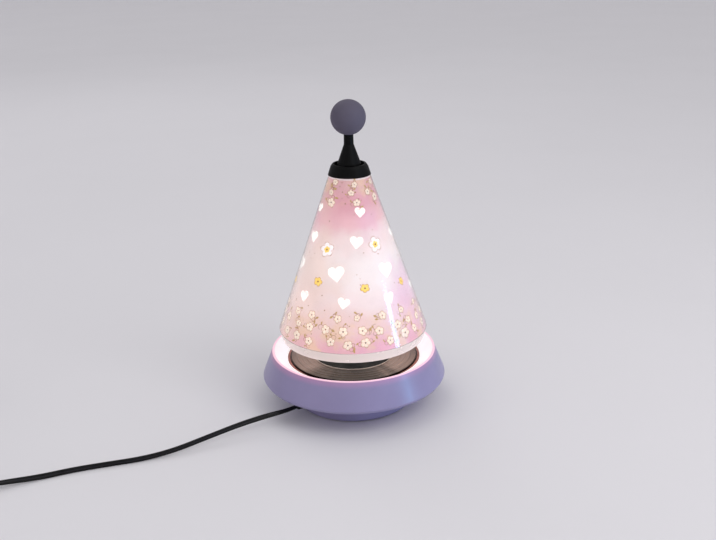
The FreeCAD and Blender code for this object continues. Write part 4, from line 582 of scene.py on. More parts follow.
# Printed film
# A thin white film lies inside the cone, printed with soft washes of pink, peach and lilac and
# left open in hearts. The bulb lights it from within, most at its own height, and its back is
# unprinted.
FILM_FOOT, FILM_RADIUS, FILM_SLOPE = 86.0 * mm, 79.1 * mm, 0.3491
FILM_HEIGHT = 171.5 * mm
BULB_LOW, BULB_HIGH = (0.080, 0.135), (0.160, 0.257)
WASHES = [
    (0.00, (243, 184, 196)),
    (0.12, (249, 213, 209)),
    (0.28, (252, 232, 231)),
    (0.48, (254, 242, 240)),
    (0.62, (252, 229, 227)),
    (0.74, (247, 195, 202)),
    (0.87, (234, 170, 182)),
    (1.00, (222, 160, 175)),
]
PEACH, ORCHID, GOLD_WASH = (254, 220, 204), (241, 182, 224), (248, 212, 172)
FILM_BACK = (214, 210, 206)
FILM_LIGHT = 0.86
INK_SHARE = 0.30
BACK_LIGHT = 1.3
LOW_BORDER, HIGH_BORDER = (0.100, 0.132), (0.222, 0.238)
CLEAR_EDGE, EDGE_TONE = (251.0 * mm, 251.3 * mm), (246, 226, 226)

lit_print, given, wanted = effect(
    "lit_print",
    {"Colour": ("Color", (0.8, 0.8, 0.8, 1.0))},
    {"Colour": "Color", "Light": "Color"},
)
tree = lit_print
height = parted(tree, object_place(tree))[2]
up_to_bulb = spread(tree, height, BULB_LOW, (0.95, 1.0))
over_bulb = spread(tree, height, BULB_HIGH, (1.0, 0.84))
level = reckon(tree, "MULTIPLY", up_to_bulb, over_bulb)
level = reckon(tree, "MULTIPLY", level, patchy(tree, (0.95, 1.04), 30.0, 4.0))
inked = given["Colour"]
give(tree, wanted, Colour=scaled(tree, inked, INK_SHARE), Light=scaled(tree, inked, level))

film, tree = blank_finish("printed_film_lit")
spots = put(tree, "TexCoord")
place = spots["Object"]
x, _, height = parted(tree, place)
way_up = spread(tree, height, (FILM_FOOT, FILM_FOOT + FILM_HEIGHT), way="LINEAR")
drift = spread(tree, cloud(tree, 22.0, 4.0), (0.25, 0.75), (-0.05, 0.05))
sheet_ink = wash(tree, reckon(tree, "ADD", way_up, drift), WASHES)
to_right = spread(tree, x, (-50.0 * mm, 50.0 * mm), (-0.10, 0.10))
peach_cloud = reckon(tree, "SUBTRACT", cloud(tree, 13.0), to_right)
moved = put(tree, "Mapping", {"Vector": place, "Location": (3.1, 1.7, 0.6)})[0]
orchid_cloud = reckon(tree, "ADD", cloud(tree, 15.0, 3.0, 0.5, moved), to_right)
low_border = spread(tree, height, LOW_BORDER, (1.0, 0.0))
borders = reckon(tree, "ADD", low_border, spread(tree, height, HIGH_BORDER))
gilded = reckon(tree, "MULTIPLY", borders, 0.6)
flecks = spread(tree, cloud(tree, 48.0, 4.0), (0.45, 0.62))
for share, colour in (
    (spread(tree, peach_cloud, (0.45, 0.66), (0.0, 0.5)), PEACH),
    (spread(tree, orchid_cloud, (0.50, 0.70), (0.0, 0.42)), ORCHID),
    (reckon(tree, "MULTIPLY", gilded, flecks), GOLD_WASH),
    (spread(tree, height, CLEAR_EDGE), EDGE_TONE),
):
    sheet_ink = blend(tree, share, sheet_ink, paint(*colour))
outward = {0: levelled(tree, place), 1: spots["Normal"]}
facing = put(tree, "VectorMath", outward, operation="DOT_PRODUCT")["Value"]
back = reckon(tree, "LESS_THAN", facing, 0.0)
lit = put(tree, "Group", {"Colour": sheet_ink}, node_tree=lit_print)
back_light = tuple(BACK_LIGHT * part for part in paint(*FILM_BACK)[:3])
sheet = {
    "Base Color": blend(tree, back, lit["Colour"], paint(*FILM_BACK)),
    "Roughness": patchy(tree, (0.38, 0.5), 150.0, 4.0),
    "Emission Color": blend(tree, back, lit["Light"], (*back_light, 1.0)),
    "Emission Strength": FILM_LIGHT,
}
cover(tree, sheet)
dress(film, "printed_film")

# Blossoms, sprigs and dots
# The rest of the print lies over the washes in thin opaque inks: two borders of little cream
# blossoms with brown edges, curled golden sprigs with leaves, and larger flowers and dots in
# between. Each piece is in one ink and lies a little over the one before.
um = 0.001 * mm
HALF_ANGLE = math.atan(FILM_SLOPE)
TIP = FILM_FOOT + FILM_RADIUS / FILM_SLOPE
BORDER_ROWS = [
    (95.5, 23, 4.2, 5.8),
    (107.0, 24, 3.6, 5.4),
    (119.0, 17, 2.8, 4.4),
    (247.0, 7, 3.0, 3.7),
    (239.0, 8, 2.9, 3.9),
    (230.5, 7, 3.4, 4.8),
]
PETAL_EDGE, WIDE_SIZE, WIDE_DEPTH = 0.5 * mm, 7.6 * mm, 0.38
CURL_ENDS, RIB_WIDTH, SEAM_WIDTH = (0.62, 0.28), 0.22 * mm, 0.2 * mm
SEAM_SHARES = np.array([0.34, 0.5, 0.66])
WIDE_FLOWERS = [(24, 181), (96, 190), (168, 178), (237, 184), (304, 188)]
YELLOW_FLOWERS = [(45, 150), (110, 147), (188, 142), (232, 152), (283, 148), (330, 145)]
DOT_ROWS = [(90.0, 130.0, 70), (130.0, 225.0, 46), (226.0, 252.0, 26)]
# Where each ink begins and ends over the film, in thousandths of a millimetre
SPRIG_LIFT, LEAF_LIFT, RIB_LIFT, EDGE_LIFT = (1, 5), (6, 10), (11, 14), (8, 15)
PETAL_LIFT, SEAM_LIFT, HEART_LIFT, MIDDLE_LIFT = (17, 25), (26, 30), (27, 33), (34, 40)
INKS = {
    "sprig_gold": ((184, 124, 70), 0.75),
    "leaf_gold": ((214, 172, 98), 0.85),
    "edge_brown": ((204, 146, 100), 0.85),
    "petal_cream": ((254, 232, 212), 1.14),
    "petal_white": ((255, 246, 246), 1.2),
    "petal_yellow": ((255, 214, 104), 1.2),
    "centre_brown": ((132, 84, 52), 0.6),
}


def on_film(flat, spot, lift):
    """Points of flat drawings rolled onto the film. `flat` is across and up from each drawing's
    spot, an azimuth and a height. On the cone's flat cut a point keeps its slant distance from
    the tip, and its angle there is the azimuth times the sine of the cone's half angle."""
    azimuth, height = spot[:, :1], spot[:, 1:]
    reach = (TIP - height) / math.cos(HALF_ANGLE) - flat[..., 1]
    slant = np.hypot(reach, flat[..., 0])
    turn = azimuth + np.arctan2(flat[..., 0], reach) / math.sin(HALF_ANGLE)
    radius = slant * math.sin(HALF_ANGLE) + lift * math.cos(HALF_ANGLE)
    rise = TIP - slant * math.cos(HALF_ANGLE) + lift * math.sin(HALF_ANGLE)
    return np.stack([radius * np.cos(turn), radius * np.sin(turn), rise], axis=-1)


def repeated(faces, count, step):
    """The faces of one drawing for each of several, whose points follow on from each other."""
    starts = range(0, count * step, step)
    return [[start + corner for corner in face] for start in starts for face in faces]


def patches_of_ink(outlines, spots, lift):
    """Filled drawings as thin closed lenses. Each has its middle, two rings at a third and at two
    thirds of its outline on the upper side, the outline itself, and a middle underneath."""
    count, corners = outlines.shape[:2]
    low, high = lift
    middle = (outlines.max(axis=1, keepdims=True) + outlines.min(axis=1, keepdims=True)) / 2
    rings = [middle + share * (outlines - middle) for share in (1 / 3, 2 / 3, 1.0)]
    flat = np.concatenate([middle, *rings, middle], axis=1)
    lift = np.repeat([high, high, high, low, low], [1, corners, corners, corners, 1]) * um
    ring = np.arange(corners)
    after = (ring + 1) % corners
    fan = np.stack([0 * ring, 1 + ring, 1 + after], axis=1).tolist()
    edge = 1 + 2 * corners
    fan += np.stack([0 * ring + edge + corners, edge + after, edge + ring], axis=1).tolist()
    bands = [
        np.stack([start + ring, start + corners + ring, start + corners + after, start + after], 1)
        for start in (1, 1 + corners)
    ]
    faces = repeated(fan + np.concatenate(bands).tolist(), count, 3 * corners + 2)
    return on_film(flat, spots, lift).reshape(-1, 3), faces


def lines_of_ink(paths, widths, spots, lift):
    """Drawn lines as thin closed ribbons: each path is carried with a flat four-cornered section
    as wide as the line. The widths are one for all, or one for each point along a path."""
    count, length = paths.shape[:2]
    low, high = np.array(lift) * um
    ahead = np.gradient(paths, axis=1)
    ahead /= np.linalg.norm(ahead, axis=-1, keepdims=True)
    side = np.stack([-ahead[..., 1], ahead[..., 0]], axis=-1) * np.asarray(widths)[..., None] / 2
    left, right = paths + side, paths - side
    section = ((left, high), (right, high), (right, low), (left, low))
    points = np.stack([on_film(flat, spots, over) for flat, over in section], axis=2)
    ends = [[3, 2, 1, 0], list(range(4 * length - 4, 4 * length))]
    faces = repeated(grid_faces(length, 4, closed_columns=True) + ends, count, 4 * length)
    return points.reshape(-1, 3), faces


def gather(*sets):
    """Several sets of points and faces as one."""
    points, faces, start = [], [], 0
    for some_points, some_faces in sets:
        points.append(some_points)
        faces += [[corner + start for corner in face] for face in some_faces]
        start += len(some_points)
    return np.concatenate(points), faces


def pointing(angle):
    """The directions that angles point in, as across and up."""
    return np.stack([np.cos(angle), np.sin(angle)], axis=-1)


def petals(radius, turn, depth=0.30, corners=40):
    """Five round petals: the radius is R (1 - d + d |sin(5a/2)|^0.6), with R a little different
    from petal to petal."""
    angle = around(corners)[None, :]
    radius, turn = radius[:, None], turn[:, None]
    uneven = 1.0 + 0.06 * np.sin(2.0 * angle + 3.0 * turn)
    reach = radius * uneven * (1.0 - depth + depth * np.abs(np.sin(2.5 * angle)) ** 0.6)
    return reach[..., None] * pointing(angle + turn)


def drops(radius, corners=10):
    """Small round drops of ink."""
    return radius[:, None, None] * pointing(around(corners))


def curls(start, heading, length, curl, corners=13):
    """Lines that bend more and more: along the way s from 0 to 1 the heading is h + c s^1.5."""
    way = np.linspace(0.0, 1.0, corners)[None, :]
    angle = heading[:, None] + curl[:, None] * way**1.5
    steps = length[:, None, None] / (corners - 1) * pointing(angle)
    return start[:, None] + np.cumsum(steps, axis=1) - steps[:, :1]


def leaning(across, up, angle):
    """Flat drawings turned anticlockwise, each by its own angle."""
    cosine, sine = np.cos(angle)[:, None], np.sin(angle)[:, None]
    return np.stack([across * cosine - up * sine, across * sine + up * cosine], axis=-1)


def leaves(start, heading, length, corners=12):
    """Pointed leaves: a point at s along the leaf lies 0.24 sin(pi s) of its length to a side."""
    share = np.linspace(0.0, 1.0, corners // 2 + 1)
    along = np.concatenate([share, share[-2:0:-1]])
    side = np.repeat([1.0, -1.0], [corners // 2 + 1, corners // 2 - 1])
    beside = 0.24 * np.sin(math.pi * along) * side
    return start[:, None] + length[:, None, None] * leaning(along, beside, heading)


def ink(name):
    """An opaque ink that the lamp shines through, thinner in small specks."""
    colour, share = INKS[name]
    material, tree = blank_finish(name)
    specks = cloud(tree, 700.0, 3.0)
    thin = tuple(0.6 * part + 0.4 * 250 for part in colour)
    tone = blend(tree, spread(tree, specks, (0.45, 0.7), (0.0, 0.5)), paint(*colour), paint(*thin))
    lit = put(tree, "Group", {"Colour": tone}, node_tree=lit_print)
    dull = spread(tree, specks, CLOUD_RANGE, (0.4, 0.55))
    feeds = {"Base Color": lit["Colour"], "Roughness": dull}
    feeds |= {"Emission Color": lit["Light"], "Emission Strength": FILM_LIGHT * share}
    cover(tree, feeds)
    return material


def any_way(count):
    """Random angles, all round."""
    return chance.uniform(0.0, 2.0 * math.pi, count)


chance = np.random.default_rng(29)
rows = []
for number, (height, count, smallest, largest) in enumerate(BORDER_ROWS):
    azimuth = (np.arange(count) + 0.5 * (number % 2) + chance.uniform(-0.16, 0.16, count)) / count
    heights = (height + chance.uniform(-1.8, 1.8, count)) * mm
    sizes = chance.uniform(smallest, largest, count) * mm
    rows.append(np.stack([2.0 * math.pi * azimuth, heights, sizes], axis=1))
small = np.concatenate(rows)
small_spots, small_size, small_turn = small[:, :2], small[:, 2], any_way(len(small))
wide, yellow = (
    np.array(flowers) * (math.pi / 180.0, mm) for flowers in (WIDE_FLOWERS, YELLOW_FLOWERS)
)
wide_size, wide_turn = np.full(len(wide), WIDE_SIZE), any_way(len(wide))
yellow_turn = any_way(len(yellow))
yellow_size = chance.uniform(3.6, 4.8, len(yellow)) * mm

twice = np.tile(small, (2, 1))
twice_spots, twice_size, twice_way = twice[:, :2], twice[:, 2], any_way(len(twice))
curl_start = pointing(twice_way) * 0.7 * twice_size[:, None]
curl_length = twice_size * chance.uniform(1.8, 2.7, len(twice))
curl_bend = chance.choice([-1.0, 1.0], len(twice)) * chance.uniform(3.2, 5.4, len(twice))
curl_paths = curls(curl_start, twice_way, curl_length, curl_bend)
curl_widths = np.linspace(*CURL_ENDS, curl_paths.shape[1]) * mm
leaf_start = curl_paths[:, 4]
leaf_way = twice_way + chance.choice([-0.9, 0.9], len(twice))
leaf_length = chance.uniform(3.0, 5.0, len(twice)) * mm
leaf_shapes = leaves(leaf_start, leaf_way, leaf_length)
rib_ends = leaf_start + 0.85 * leaf_length[:, None] * pointing(leaf_way)
ribs = np.stack([leaf_start, (leaf_start + rib_ends) / 2, rib_ends], axis=1)
toward = pointing(np.arange(5)[None, :] * 0.4 * math.pi + small_turn[:, None]).reshape(-1, 2)
seams = toward[:, None] * (np.repeat(small_size, 5)[:, None] * SEAM_SHARES)[..., None]
seam_spots = np.repeat(small_spots, 5, axis=0)

dot_draws = [chance.uniform(low, high, count) for low, high, count in DOT_ROWS]
dot_heights = np.concatenate(dot_draws) * mm
dot_spots = np.stack([any_way(len(dot_heights)), dot_heights], axis=1)
dot_sizes = chance.uniform(0.35, 0.75, len(dot_heights)) * mm

middles = np.concatenate([small_spots, yellow, wide])
middle_size = np.concatenate([0.17 * small_size, 0.2 * yellow_size, 0.12 * wide_size])
cream = patches_of_ink(petals(small_size, small_turn), small_spots, PETAL_LIFT)
white = patches_of_ink(petals(wide_size, wide_turn, WIDE_DEPTH), wide, PETAL_LIFT)
brown = patches_of_ink(drops(middle_size, 14), middles, MIDDLE_LIFT)
for name, finish, *drawn in (
    (
        "sprigs",
        "sprig_gold",
        lines_of_ink(curl_paths, curl_widths, twice_spots, SPRIG_LIFT),
        patches_of_ink(drops(dot_sizes), dot_spots, SPRIG_LIFT),
    ),
    ("leaves", "leaf_gold", patches_of_ink(leaf_shapes, twice_spots, LEAF_LIFT)),
    ("leaf_ribs", "edge_brown", lines_of_ink(ribs, RIB_WIDTH, twice_spots, RIB_LIFT)),
    (
        "petal_edges",
        "edge_brown",
        patches_of_ink(petals(small_size + PETAL_EDGE, small_turn), small_spots, EDGE_LIFT),
        patches_of_ink(petals(yellow_size + PETAL_EDGE, yellow_turn), yellow, EDGE_LIFT),
        patches_of_ink(petals(wide_size + PETAL_EDGE, wide_turn, WIDE_DEPTH), wide, EDGE_LIFT),
        lines_of_ink(seams, SEAM_WIDTH, seam_spots, SEAM_LIFT),
    ),
    ("cream_petals", "petal_cream", cream),
    ("white_petals", "petal_white", white),
    (
        "yellow_petals",
        "petal_yellow",
        patches_of_ink(petals(yellow_size, yellow_turn), yellow, PETAL_LIFT),
        patches_of_ink(petals(0.45 * wide_size, wide_turn), wide, HEART_LIFT),
    ),
    ("blossom_middles", "centre_brown", brown),
):
    inked = piece(name, *gather(*drawn), ink(finish), crease=180.0)
    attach(inked, "shade")

# Panes behind the hearts
# Each row of heart windows is backed by panes of thin frosted clear film, a little larger than
# the windows and stuck to the inside, so that the bulb shines white through every heart.
HEART_ROWS = [
    (222.0, 4, 11.0, 18.0),
    (194.0, 5, 13.5, 62.0),
    (164.0, 6, 17.0, 12.0),
    (136.0, 8, 12.5, 37.0),
]
HEART_LEANS = (-12.0, 9.0)
PANE_MARGIN, PANE_LIFT = 1.16, (-420, -360)
PANE_LIGHT, PANE_DIM = (0.52, 0.50, 0.48, 1.0), (0.468, 0.45, 0.432, 0.9)


def hearts(width, lean, corners=44):
    """Heart outlines: across is w/2 sin^3 t, up is w (13 cos t - 5 cos 2t - 2 cos 3t - cos 4t) / 32
    less a tenth of w, and the lean turns them clockwise."""
    t, width = around(corners), width[:, None]
    up = (13 * np.cos(t) - 5 * np.cos(2 * t) - 2 * np.cos(3 * t) - np.cos(4 * t)) / 32 - 0.1
    return leaning(width / 2 * np.sin(t) ** 3, width * up, -lean)


windows = np.array([
    (math.radians(first + number * 360.0 / count), height * mm, width * mm, HEART_LEANS[number % 2])
    for height, count, width, first in HEART_ROWS
    for number in range(count)
])
pane_shapes = hearts(PANE_MARGIN * windows[:, 2], np.radians(windows[:, 3]))
frosted, tree = blank_finish("frosted_film")
frost = {
    "Base Color": blend(tree, cloud(tree, 300.0), paint(246, 244, 240), paint(238, 234, 228)),
    "Roughness": patchy(tree, (0.42, 0.6), 500.0, 4.0),
    "IOR": 1.45,
    "Transmission Weight": 0.5,
    "Emission Color": blend(tree, cloud(tree, 60.0), PANE_LIGHT, PANE_DIM),
    "Emission Strength": 1.0,
}
cover(tree, frost)
pane_mesh = patches_of_ink(pane_shapes, windows[:, :2], PANE_LIFT)
heart_panes = piece("heart_panes", *pane_mesh, frosted, crease=180.0)
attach(heart_panes, "shade")

# Wiring in the foot
# The flex is held by a white nylon clamp. Its two cores end in a screw terminal block, and two
# glass-sleeved leads go up from there through the rod to the socket.
NYLON = (222, 218, 206)
sleeving = moulded("glass_sleeving", (206, 190, 160), mottle=0.12, grain=2600.0, sheen=0.7)
dress(sleeving, "lamp_leads")
dress(moulded("core_pvc", (176, 60, 44), mottle=0.06, grain=2200.0, sheen=0.5), "cord_cores")
nylon = moulded("milky_nylon", NYLON, mottle=0.06, sheen=0.46)
dress(nylon, "cord_clamp", "terminal_block")

# Cord bush
# A tapered bush of soft black PVC grips the flex and snaps into the drum's wall, with a flange on
# each side of it. Five ribs let it bend.
BUSH_AZIMUTH = math.radians(-140.0)
BUSH_HEIGHT = 14.0 * mm
BUSH_WALL = [(59.0, 0.0), (59.0, 6.4), (59.4, 7.0), (61.2, 7.0), (61.2, 5.0), (64.0, 5.0)]
BUSH_WALL += [(64.0, 7.0), (65.3, 7.0), (65.6, 6.6), (66.0, 5.0)]
BUSH_END = [(78.9, 3.9), (79.5, 3.6), (80.0, 3.1), (80.0, 0.0)]
RIB_START, RIB_PITCH, RIB_DEPTH, RIB_COUNT = 66.4, 2.5, 0.95, 5
TAPER_START, TAPER_RADIUS, TAPER_SLOPE = 65.6, 5.0, 1.3 / 14.4


def lathed(profile, corners=48):
    """A shape turned about an axis: each point of the profile, a distance along the axis and a
    radius, becomes a ring. Returns along, across and up from the axis's start."""
    along, radius = np.array(profile).T[:, :, None]
    turn = around(corners)[None, :]
    rings = [along + 0.0 * turn, radius * np.cos(turn), radius * np.sin(turn)]
    return np.stack(rings, axis=-1), grid_faces(len(profile), corners, closed_columns=True)


def swung(points, azimuth):
    """Points turned about the upright axis."""
    cosine, sine = math.cos(azimuth), math.sin(azimuth)
    return points @ np.array([[cosine, sine, 0.0], [-sine, cosine, 0.0], [0.0, 0.0, 1.0]])


bush_profile = list(BUSH_WALL)
for number in range(RIB_COUNT):
    at = RIB_START + RIB_PITCH * number
    size = TAPER_RADIUS - TAPER_SLOPE * (at - TAPER_START)
    bush_profile += [(at, size), (at + 1.5, size - 0.13), (at + 1.75, size - RIB_DEPTH)]
    bush_profile += [(at + 2.25, size - RIB_DEPTH - 0.05)]
bush_points, bush_faces = lathed(bush_profile + BUSH_END)
bush_points = swung(bush_points * mm, BUSH_AZIMUTH) + (0.0, 0.0, BUSH_HEIGHT)
ribbed_bush = piece("ribbed_bush", bush_points, bush_faces, black_nylon, crease=40.0)
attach(ribbed_bush, "base")
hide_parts("cord_bush")

# Flat twin flex
# Two stranded cores lie side by side in one jacket of soft black PVC, drawn in between them. It
# comes out of the bush flat, turns onto its edge and lies so on the table nearly to the switch.
FLEX_WIDE, FLEX_THICK = 5.4 * mm, 2.8 * mm
FLEX_PINCH, FLEX_GROOVE = 0.34, 0.62 * mm
INNER_PVC = {"colour": (22, 21, 24), "mottle": 0.16, "sheen": 0.38}
RUN_ROUTE = [
    (-61.28, -51.42, 14.0),
    (-71.24, -59.78, 14.0),
    (-92.0, -69.8, 13.6),
    (-118.0, -83.2, 12.0),
    (-150.0, -102.0, 8.4),
    (-181.5, -120.3, 4.5),
    (-211.0, -131.6, 2.7),
    (-243.0, -139.8, 2.7),
    (-274.0, -148.6, 2.7),
    (-303.0, -160.5, 2.7),
    (-330.84, -173.03, 6.0),
    (-352.09, -178.72, 6.0),
]
RUN_TWIST = [(0.0, 0.0), (0.05, -10.0), (0.14, -58.0), (0.28, -86.0), (0.62, -88.0)]
RUN_TWIST += [(0.85, -60.0), (1.0, 0.0)]


def smooth_line(route):
    """The smooth line that a spline makes of a route, whose control points are in millimetres,
    and how far along it each of its points lies."""
    curve = bpy.data.curves.new("route", "CURVE")
    curve.dimensions = "3D"
    curve.resolution_u = 10
    spline = curve.splines.new("NURBS")
    spline.points.add(len(route) - 1)
    spots = np.column_stack([np.array(route) * mm, np.ones(len(route))])
    spline.points.foreach_set("co", spots.ravel())
    spline.order_u = 3
    spline.use_endpoint_u = True
    holder = bpy.data.objects.new("route", curve)
    mesh = bpy.data.meshes.new_from_object(holder)
    line = np.zeros(len(mesh.vertices) * 3)
    mesh.vertices.foreach_get("co", line)
    bpy.data.meshes.remove(mesh)
    bpy.data.objects.remove(holder)
    bpy.data.curves.remove(curve)
    line = line.reshape(-1, 3)
    steps = np.linalg.norm(np.diff(line, axis=0), axis=1)
    return line, np.concatenate([[0.0], np.cumsum(steps)])


def twin_section(corners=32):
    """The flex's outline: a bar with round ends, as wide as the flex, whose thickness is drawn in
    at its middle by p exp(-(x/g)^2)."""
    core = FLEX_THICK / 2
    straight, end = FLEX_WIDE - FLEX_THICK, math.pi * core
    way = (np.arange(corners) + 0.5) / corners * 2.0 * (straight + end)
    side = np.where(way < straight + end, 1.0, -1.0)
    way = way % (straight + end)
    angle = np.clip(way - straight, 0.0, None) / core + math.pi / 2
    across = np.where(way < straight, straight / 2 - way, -straight / 2 + core * np.cos(angle))
    over = core * np.where(way < straight, 1.0, np.sin(angle))
    across, over = across * side, over * side
    return np.stack([across, over * (1.0 - FLEX_PINCH * np.exp(-((across / FLEX_GROOVE) ** 2)))], 1)


def drawn_along(line, section, lean):
    """An outline carried along a line, a ring of it at each point. Its width is level and square
    to the line, turned about the line by the lean."""
    ahead = np.gradient(line, axis=0)
    ahead /= np.linalg.norm(ahead, axis=1, keepdims=True)
    flat = np.cross((0.0, 0.0, 1.0), ahead)
    flat /= np.linalg.norm(flat, axis=1, keepdims=True)
    over = np.cross(ahead, flat)
    wide = flat * np.cos(lean)[:, None] + over * np.sin(lean)[:, None]
    thick = over * np.cos(lean)[:, None] - flat * np.sin(lean)[:, None]
    rings = wide[:, None] * section[:, :1] + thick[:, None] * section[:, 1:]
    return line[:, None] + rings


def flex(name, route, twist):
    """The flex laid along a route. The twist gives its lean in degrees at shares of its length.
    Each point keeps how far along, across and over the flex it lies, for the jacket's finish."""
    line, along = smooth_line(route)
    section = twin_section()
    lean = np.radians(np.interp(along / along[-1], *zip(*twist)))
    points = drawn_along(line, section, lean)
    laid = np.stack(np.broadcast_arrays(along[:, None], *section.T), axis=-1)
    rows, columns = points.shape[:2]
    faces = grid_faces(rows, columns, closed_columns=True)
    faces += [list(range(columns))[::-1], list(range((rows - 1) * columns, rows * columns))]
    made = piece(name, points, faces, flex_pvc, crease=50.0, laid=laid)
    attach(made, "base")
    return made, line.tolist()


flex_pvc, tree = blank_finish("flex_pvc")
laid = put(tree, "Attribute", attribute_name="laid")["Vector"]
across = parted(tree, laid)[1]
drag = put(tree, "Mapping", {"Vector": laid, "Scale": (0.03, 1.0, 1.0)})[0]
drag_lines = cloud(tree, 4200.0, 2.0, 0.5, drag)
rubbed = cloud(tree, 38.0, 5.0, 0.65)
groove = spread(tree, reckon(tree, "ABSOLUTE", across), (0.1 * mm, 0.75 * mm), (1.0, 0.0))
# Dust in the groove, and a painted highlight along it: the groove is painted lighter in patches.
groove_dust_and_highlight = reckon(tree, "MULTIPLY", groove, spread(tree, rubbed, CLOUD_RANGE, (0.25, 0.75)))
handled = spread(tree, rubbed, CLOUD_RANGE)
jacket_tone = blend(tree, handled, paint(10, 9, 11), paint(19, 18, 21))
jacket_tone = blend(tree, groove_dust_and_highlight, jacket_tone, paint(50, 48, 53))
jacket = {
    "Base Color": jacket_tone,
    "Roughness": spread(tree, rubbed, (0.35, 0.7), (0.36, 0.50)),
    "Specular IOR Level": 0.2,
    "Normal": raised(tree, drag_lines, 0.015 * mm),
}
cover(tree, jacket)

flex_run, run_line = flex("flex_run", RUN_ROUTE, RUN_TWIST)
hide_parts("cord_run")
dress(moulded("inner_flex_pvc", **INNER_PVC), "inner_cord", "switch_cords")

# In-line switch
# The rocker switch on the flex is two black shells screwed together from below. Its rocker tips
# on a steel pin and has a raised bar on one end and a raised ring on the other.
SWITCH_PLACE = (-383.0, -187.0, 0.0)
SWITCH_TURN = math.radians(195.0)
ROCKER_PIVOT, ROCKER_TILT = 10.5, math.radians(8.0)
ROCKER_FACE, ROCKER_SLOPE = 3.9, 1.0 / 11.0
MARK_PLACE, MARK_RISE, MARK_SUNK = 7.6, 0.22, -0.1
SHELL_SKIN = {"mottle": 0.15, "grain": 1100.0, "depth": 0.03 * mm, "sheen": 0.5}
shell_black = moulded("shell_black", (19, 19, 20), **SHELL_SKIN)
dress(shell_black, "switch_base", "switch_cover", "transformer_case", "transformer_cover")
rocker_black = moulded("rocker_black", (15, 15, 16), mottle=0.1, depth=0.008 * mm, sheen=0.3)
dress(rocker_black, "switch_rocker")


def on_rocker(across, beside, over):
    """Points on the rocker: its upper face is a shallow V along it, it is tipped about its pin,
    and the switch lies turned on the table."""
    above = ROCKER_FACE + ROCKER_SLOPE * np.abs(across) + over
    length = across * math.cos(ROCKER_TILT) + above * math.sin(ROCKER_TILT)
    height = ROCKER_PIVOT + above * math.cos(ROCKER_TILT) - across * math.sin(ROCKER_TILT)
    return (swung(np.stack([length, beside, height], axis=-1), SWITCH_TURN) + SWITCH_PLACE) * mm


def raised_loop(middle, outer, inner, corners=40):
    """A flat closed band on the rocker between an outer and an inner oval, standing up from it."""
    turn = around(corners)[:, None]
    size = np.array([outer, inner, inner, outer])
    over = np.array([MARK_RISE, MARK_RISE, MARK_SUNK, MARK_SUNK])
    across, beside = middle + size[:, 0] * np.cos(turn), size[:, 1] * np.sin(turn)
    return on_rocker(across, beside, over).reshape(-1, 3), grid_faces(corners, 4, True, True)


bar = raised_loop(-MARK_PLACE, (0.45, 1.75), (0.0, 1.2))
ring = raised_loop(MARK_PLACE, (1.75, 1.75), (1.2, 1.2))
mark_white = moulded("mark_white", (206, 206, 202), mottle=0.1, sheen=0.5)
rocker_marks = piece("rocker_marks", *gather(bar, ring), mark_white)
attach(rocker_marks, "rocker")

# Flex to the transformer
# The rest of the flex is wound up on its edge into a flat coil of six turns, three beside each
# other in two layers, and held by a strap. It ends in the transformer's bush.
LINK_ROUTE = [
    (-413.91, -195.28, 6.0),
    (-427.43, -198.90, 6.0),
    (-443.4, -196.5, 2.9),
    (-459.4, -188.3, 2.7),
    (-471.5, -174.9, 2.7),
    (-478.0, -158.1, 2.7),
    (-478.0, -142.0, 2.7),
]
COIL_START, COIL_LOW = (-478.0, -136.6), 2.7
COIL_OUTER, COIL_PITCH, COIL_HALF_TURNS = 41.0, 5.9, 12
TAIL_ROUTE = [
    (-478.0, -131.2, 8.6),
    (-478.0, -124.2, 8.6),
    (-478.8, -111.5, 7.9),
    (-478.0, -98.0, 8.6),
    (-478.0, -91.0, 8.6),
]
STORE_TWIST = [(0.0, 0.0), (0.012, 0.0), (0.06, 90.0), (0.965, 90.0), (0.995, 0.0), (1.0, 0.0)]
STRAP_X, STRAP_WIDE, STRAP_THICK = -434.05, 6.0, 0.8
STRAP_FROM, STRAP_TO, STRAP_TOP, STRAP_SQUARENESS = -176.5, -161.0, 12.1, 0.32


def wound(start, outer, pitch, half_turns, low):
    """The control points of a flat coil. Each half turn is a half circle about its own middle,
    smaller by half the pitch towards the coil's middle and larger again on the layer above.
    Nine points stand just outside each half circle, so that the spline follows it."""
    points, x, height = [], start[0], low
    half_step = math.pi / 18
    for number in range(half_turns):
        way = -1.0 if number % 2 else 1.0
        radius = outer - pitch / 2 * min(number, half_turns - number)
        climb = pitch if number == half_turns // 2 else 0.0
        angle = half_step * np.arange(1, 18, 2)
        share = (angle / math.pi) ** 2 * (3.0 - 2.0 * angle / math.pi)
        out = radius / math.cos(half_step)
        across = x + way * (radius - out * np.cos(angle))
        beside = start[1] + way * out * np.sin(angle)
        points += np.stack([across, beside, height + climb * share], axis=1).tolist()
        x += 2.0 * way * radius
        height += climb
    return points


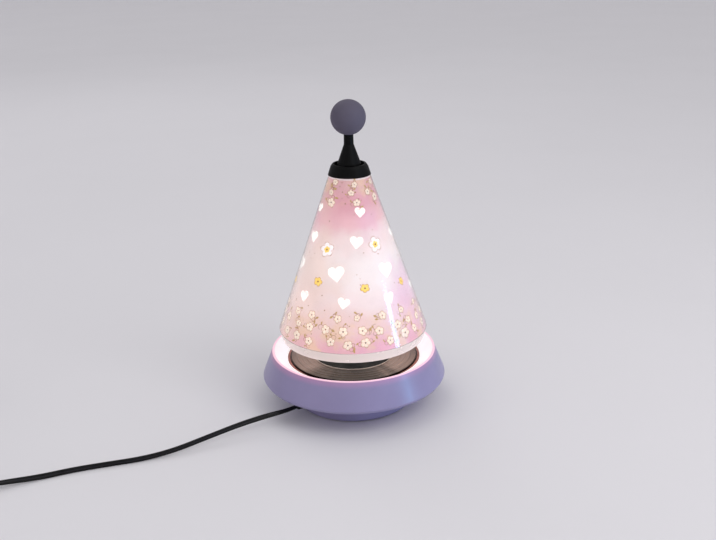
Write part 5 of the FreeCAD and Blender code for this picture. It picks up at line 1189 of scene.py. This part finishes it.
coil_route = wound(COIL_START, COIL_OUTER, COIL_PITCH, COIL_HALF_TURNS, COIL_LOW)
flex_store, store_line = flex("flex_store", LINK_ROUTE + coil_route + TAIL_ROUTE, STORE_TWIST)
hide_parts("cord_link", "cord_coil", "cord_tail")

half = np.array([STRAP_TO - STRAP_FROM, STRAP_TOP]) / 2
circle = pointing(around(64))
loop = np.sign(circle) * np.abs(circle) ** STRAP_SQUARENESS
loop_middle = np.array([(STRAP_FROM + STRAP_TO) / 2, STRAP_TOP / 2])
outside, inside = loop_middle + loop * half, loop_middle + loop * (half - STRAP_THICK)
edges = ((outside, -0.5), (outside, 0.5), (inside, 0.5), (inside, -0.5))
strap_points = np.stack(
    [np.insert(edge, 0, STRAP_X + side * STRAP_WIDE, axis=1) for edge, side in edges], axis=1
)
strap_web, tree = blank_finish("strap_web")
web = put(tree, "TexChecker", {"Vector": object_place(tree), "Scale": 1400.0})
worn = cloud(tree, 400.0, 4.0)
cloth = {
    "Base Color": blend(tree, worn, paint(22, 22, 24), paint(44, 43, 46)),
    "Roughness": spread(tree, worn, CLOUD_RANGE, (0.8, 0.95)),
    "Normal": raised(tree, web["Fac"], 0.05 * mm),
}
cover(tree, cloth)
strap_faces = grid_faces(len(circle), len(edges), True, True)
strap = piece("coil_strap", strap_points * mm, strap_faces, strap_web, crease=40.0)
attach(strap, "base")

# Plug-in transformer
# The black two-part case plugs straight into the wall by its pins. Inside are a core of stacked
# iron plates and a winding of enamelled copper wire.
LAMINATION, WIRE_PITCH = 0.5 * mm, 0.4 * mm


def layers(axis, pitch):
    """Fine parallel ridges across one axis, as a relief: a sine of the place along it."""
    def height(tree):
        part = parted(tree, object_place(tree))[axis]
        return reckon(tree, "SINE", reckon(tree, "MULTIPLY", part, 2.0 * math.pi / pitch))
    return height


iron = metal("stacked_iron", (92, 90, 90), layers(0, LAMINATION), 0.06 * mm, sheen=0.5)
dress(iron, "transformer_core")
copper = metal("enamelled_copper", (184, 96, 52), layers(1, WIRE_PITCH), 0.08 * mm, sheen=0.3)
dress(copper, "transformer_winding")
dress(black_nylon, "transformer_bush")
dress(moulded("lead_pvc", **INNER_PVC), "transformer_lead")
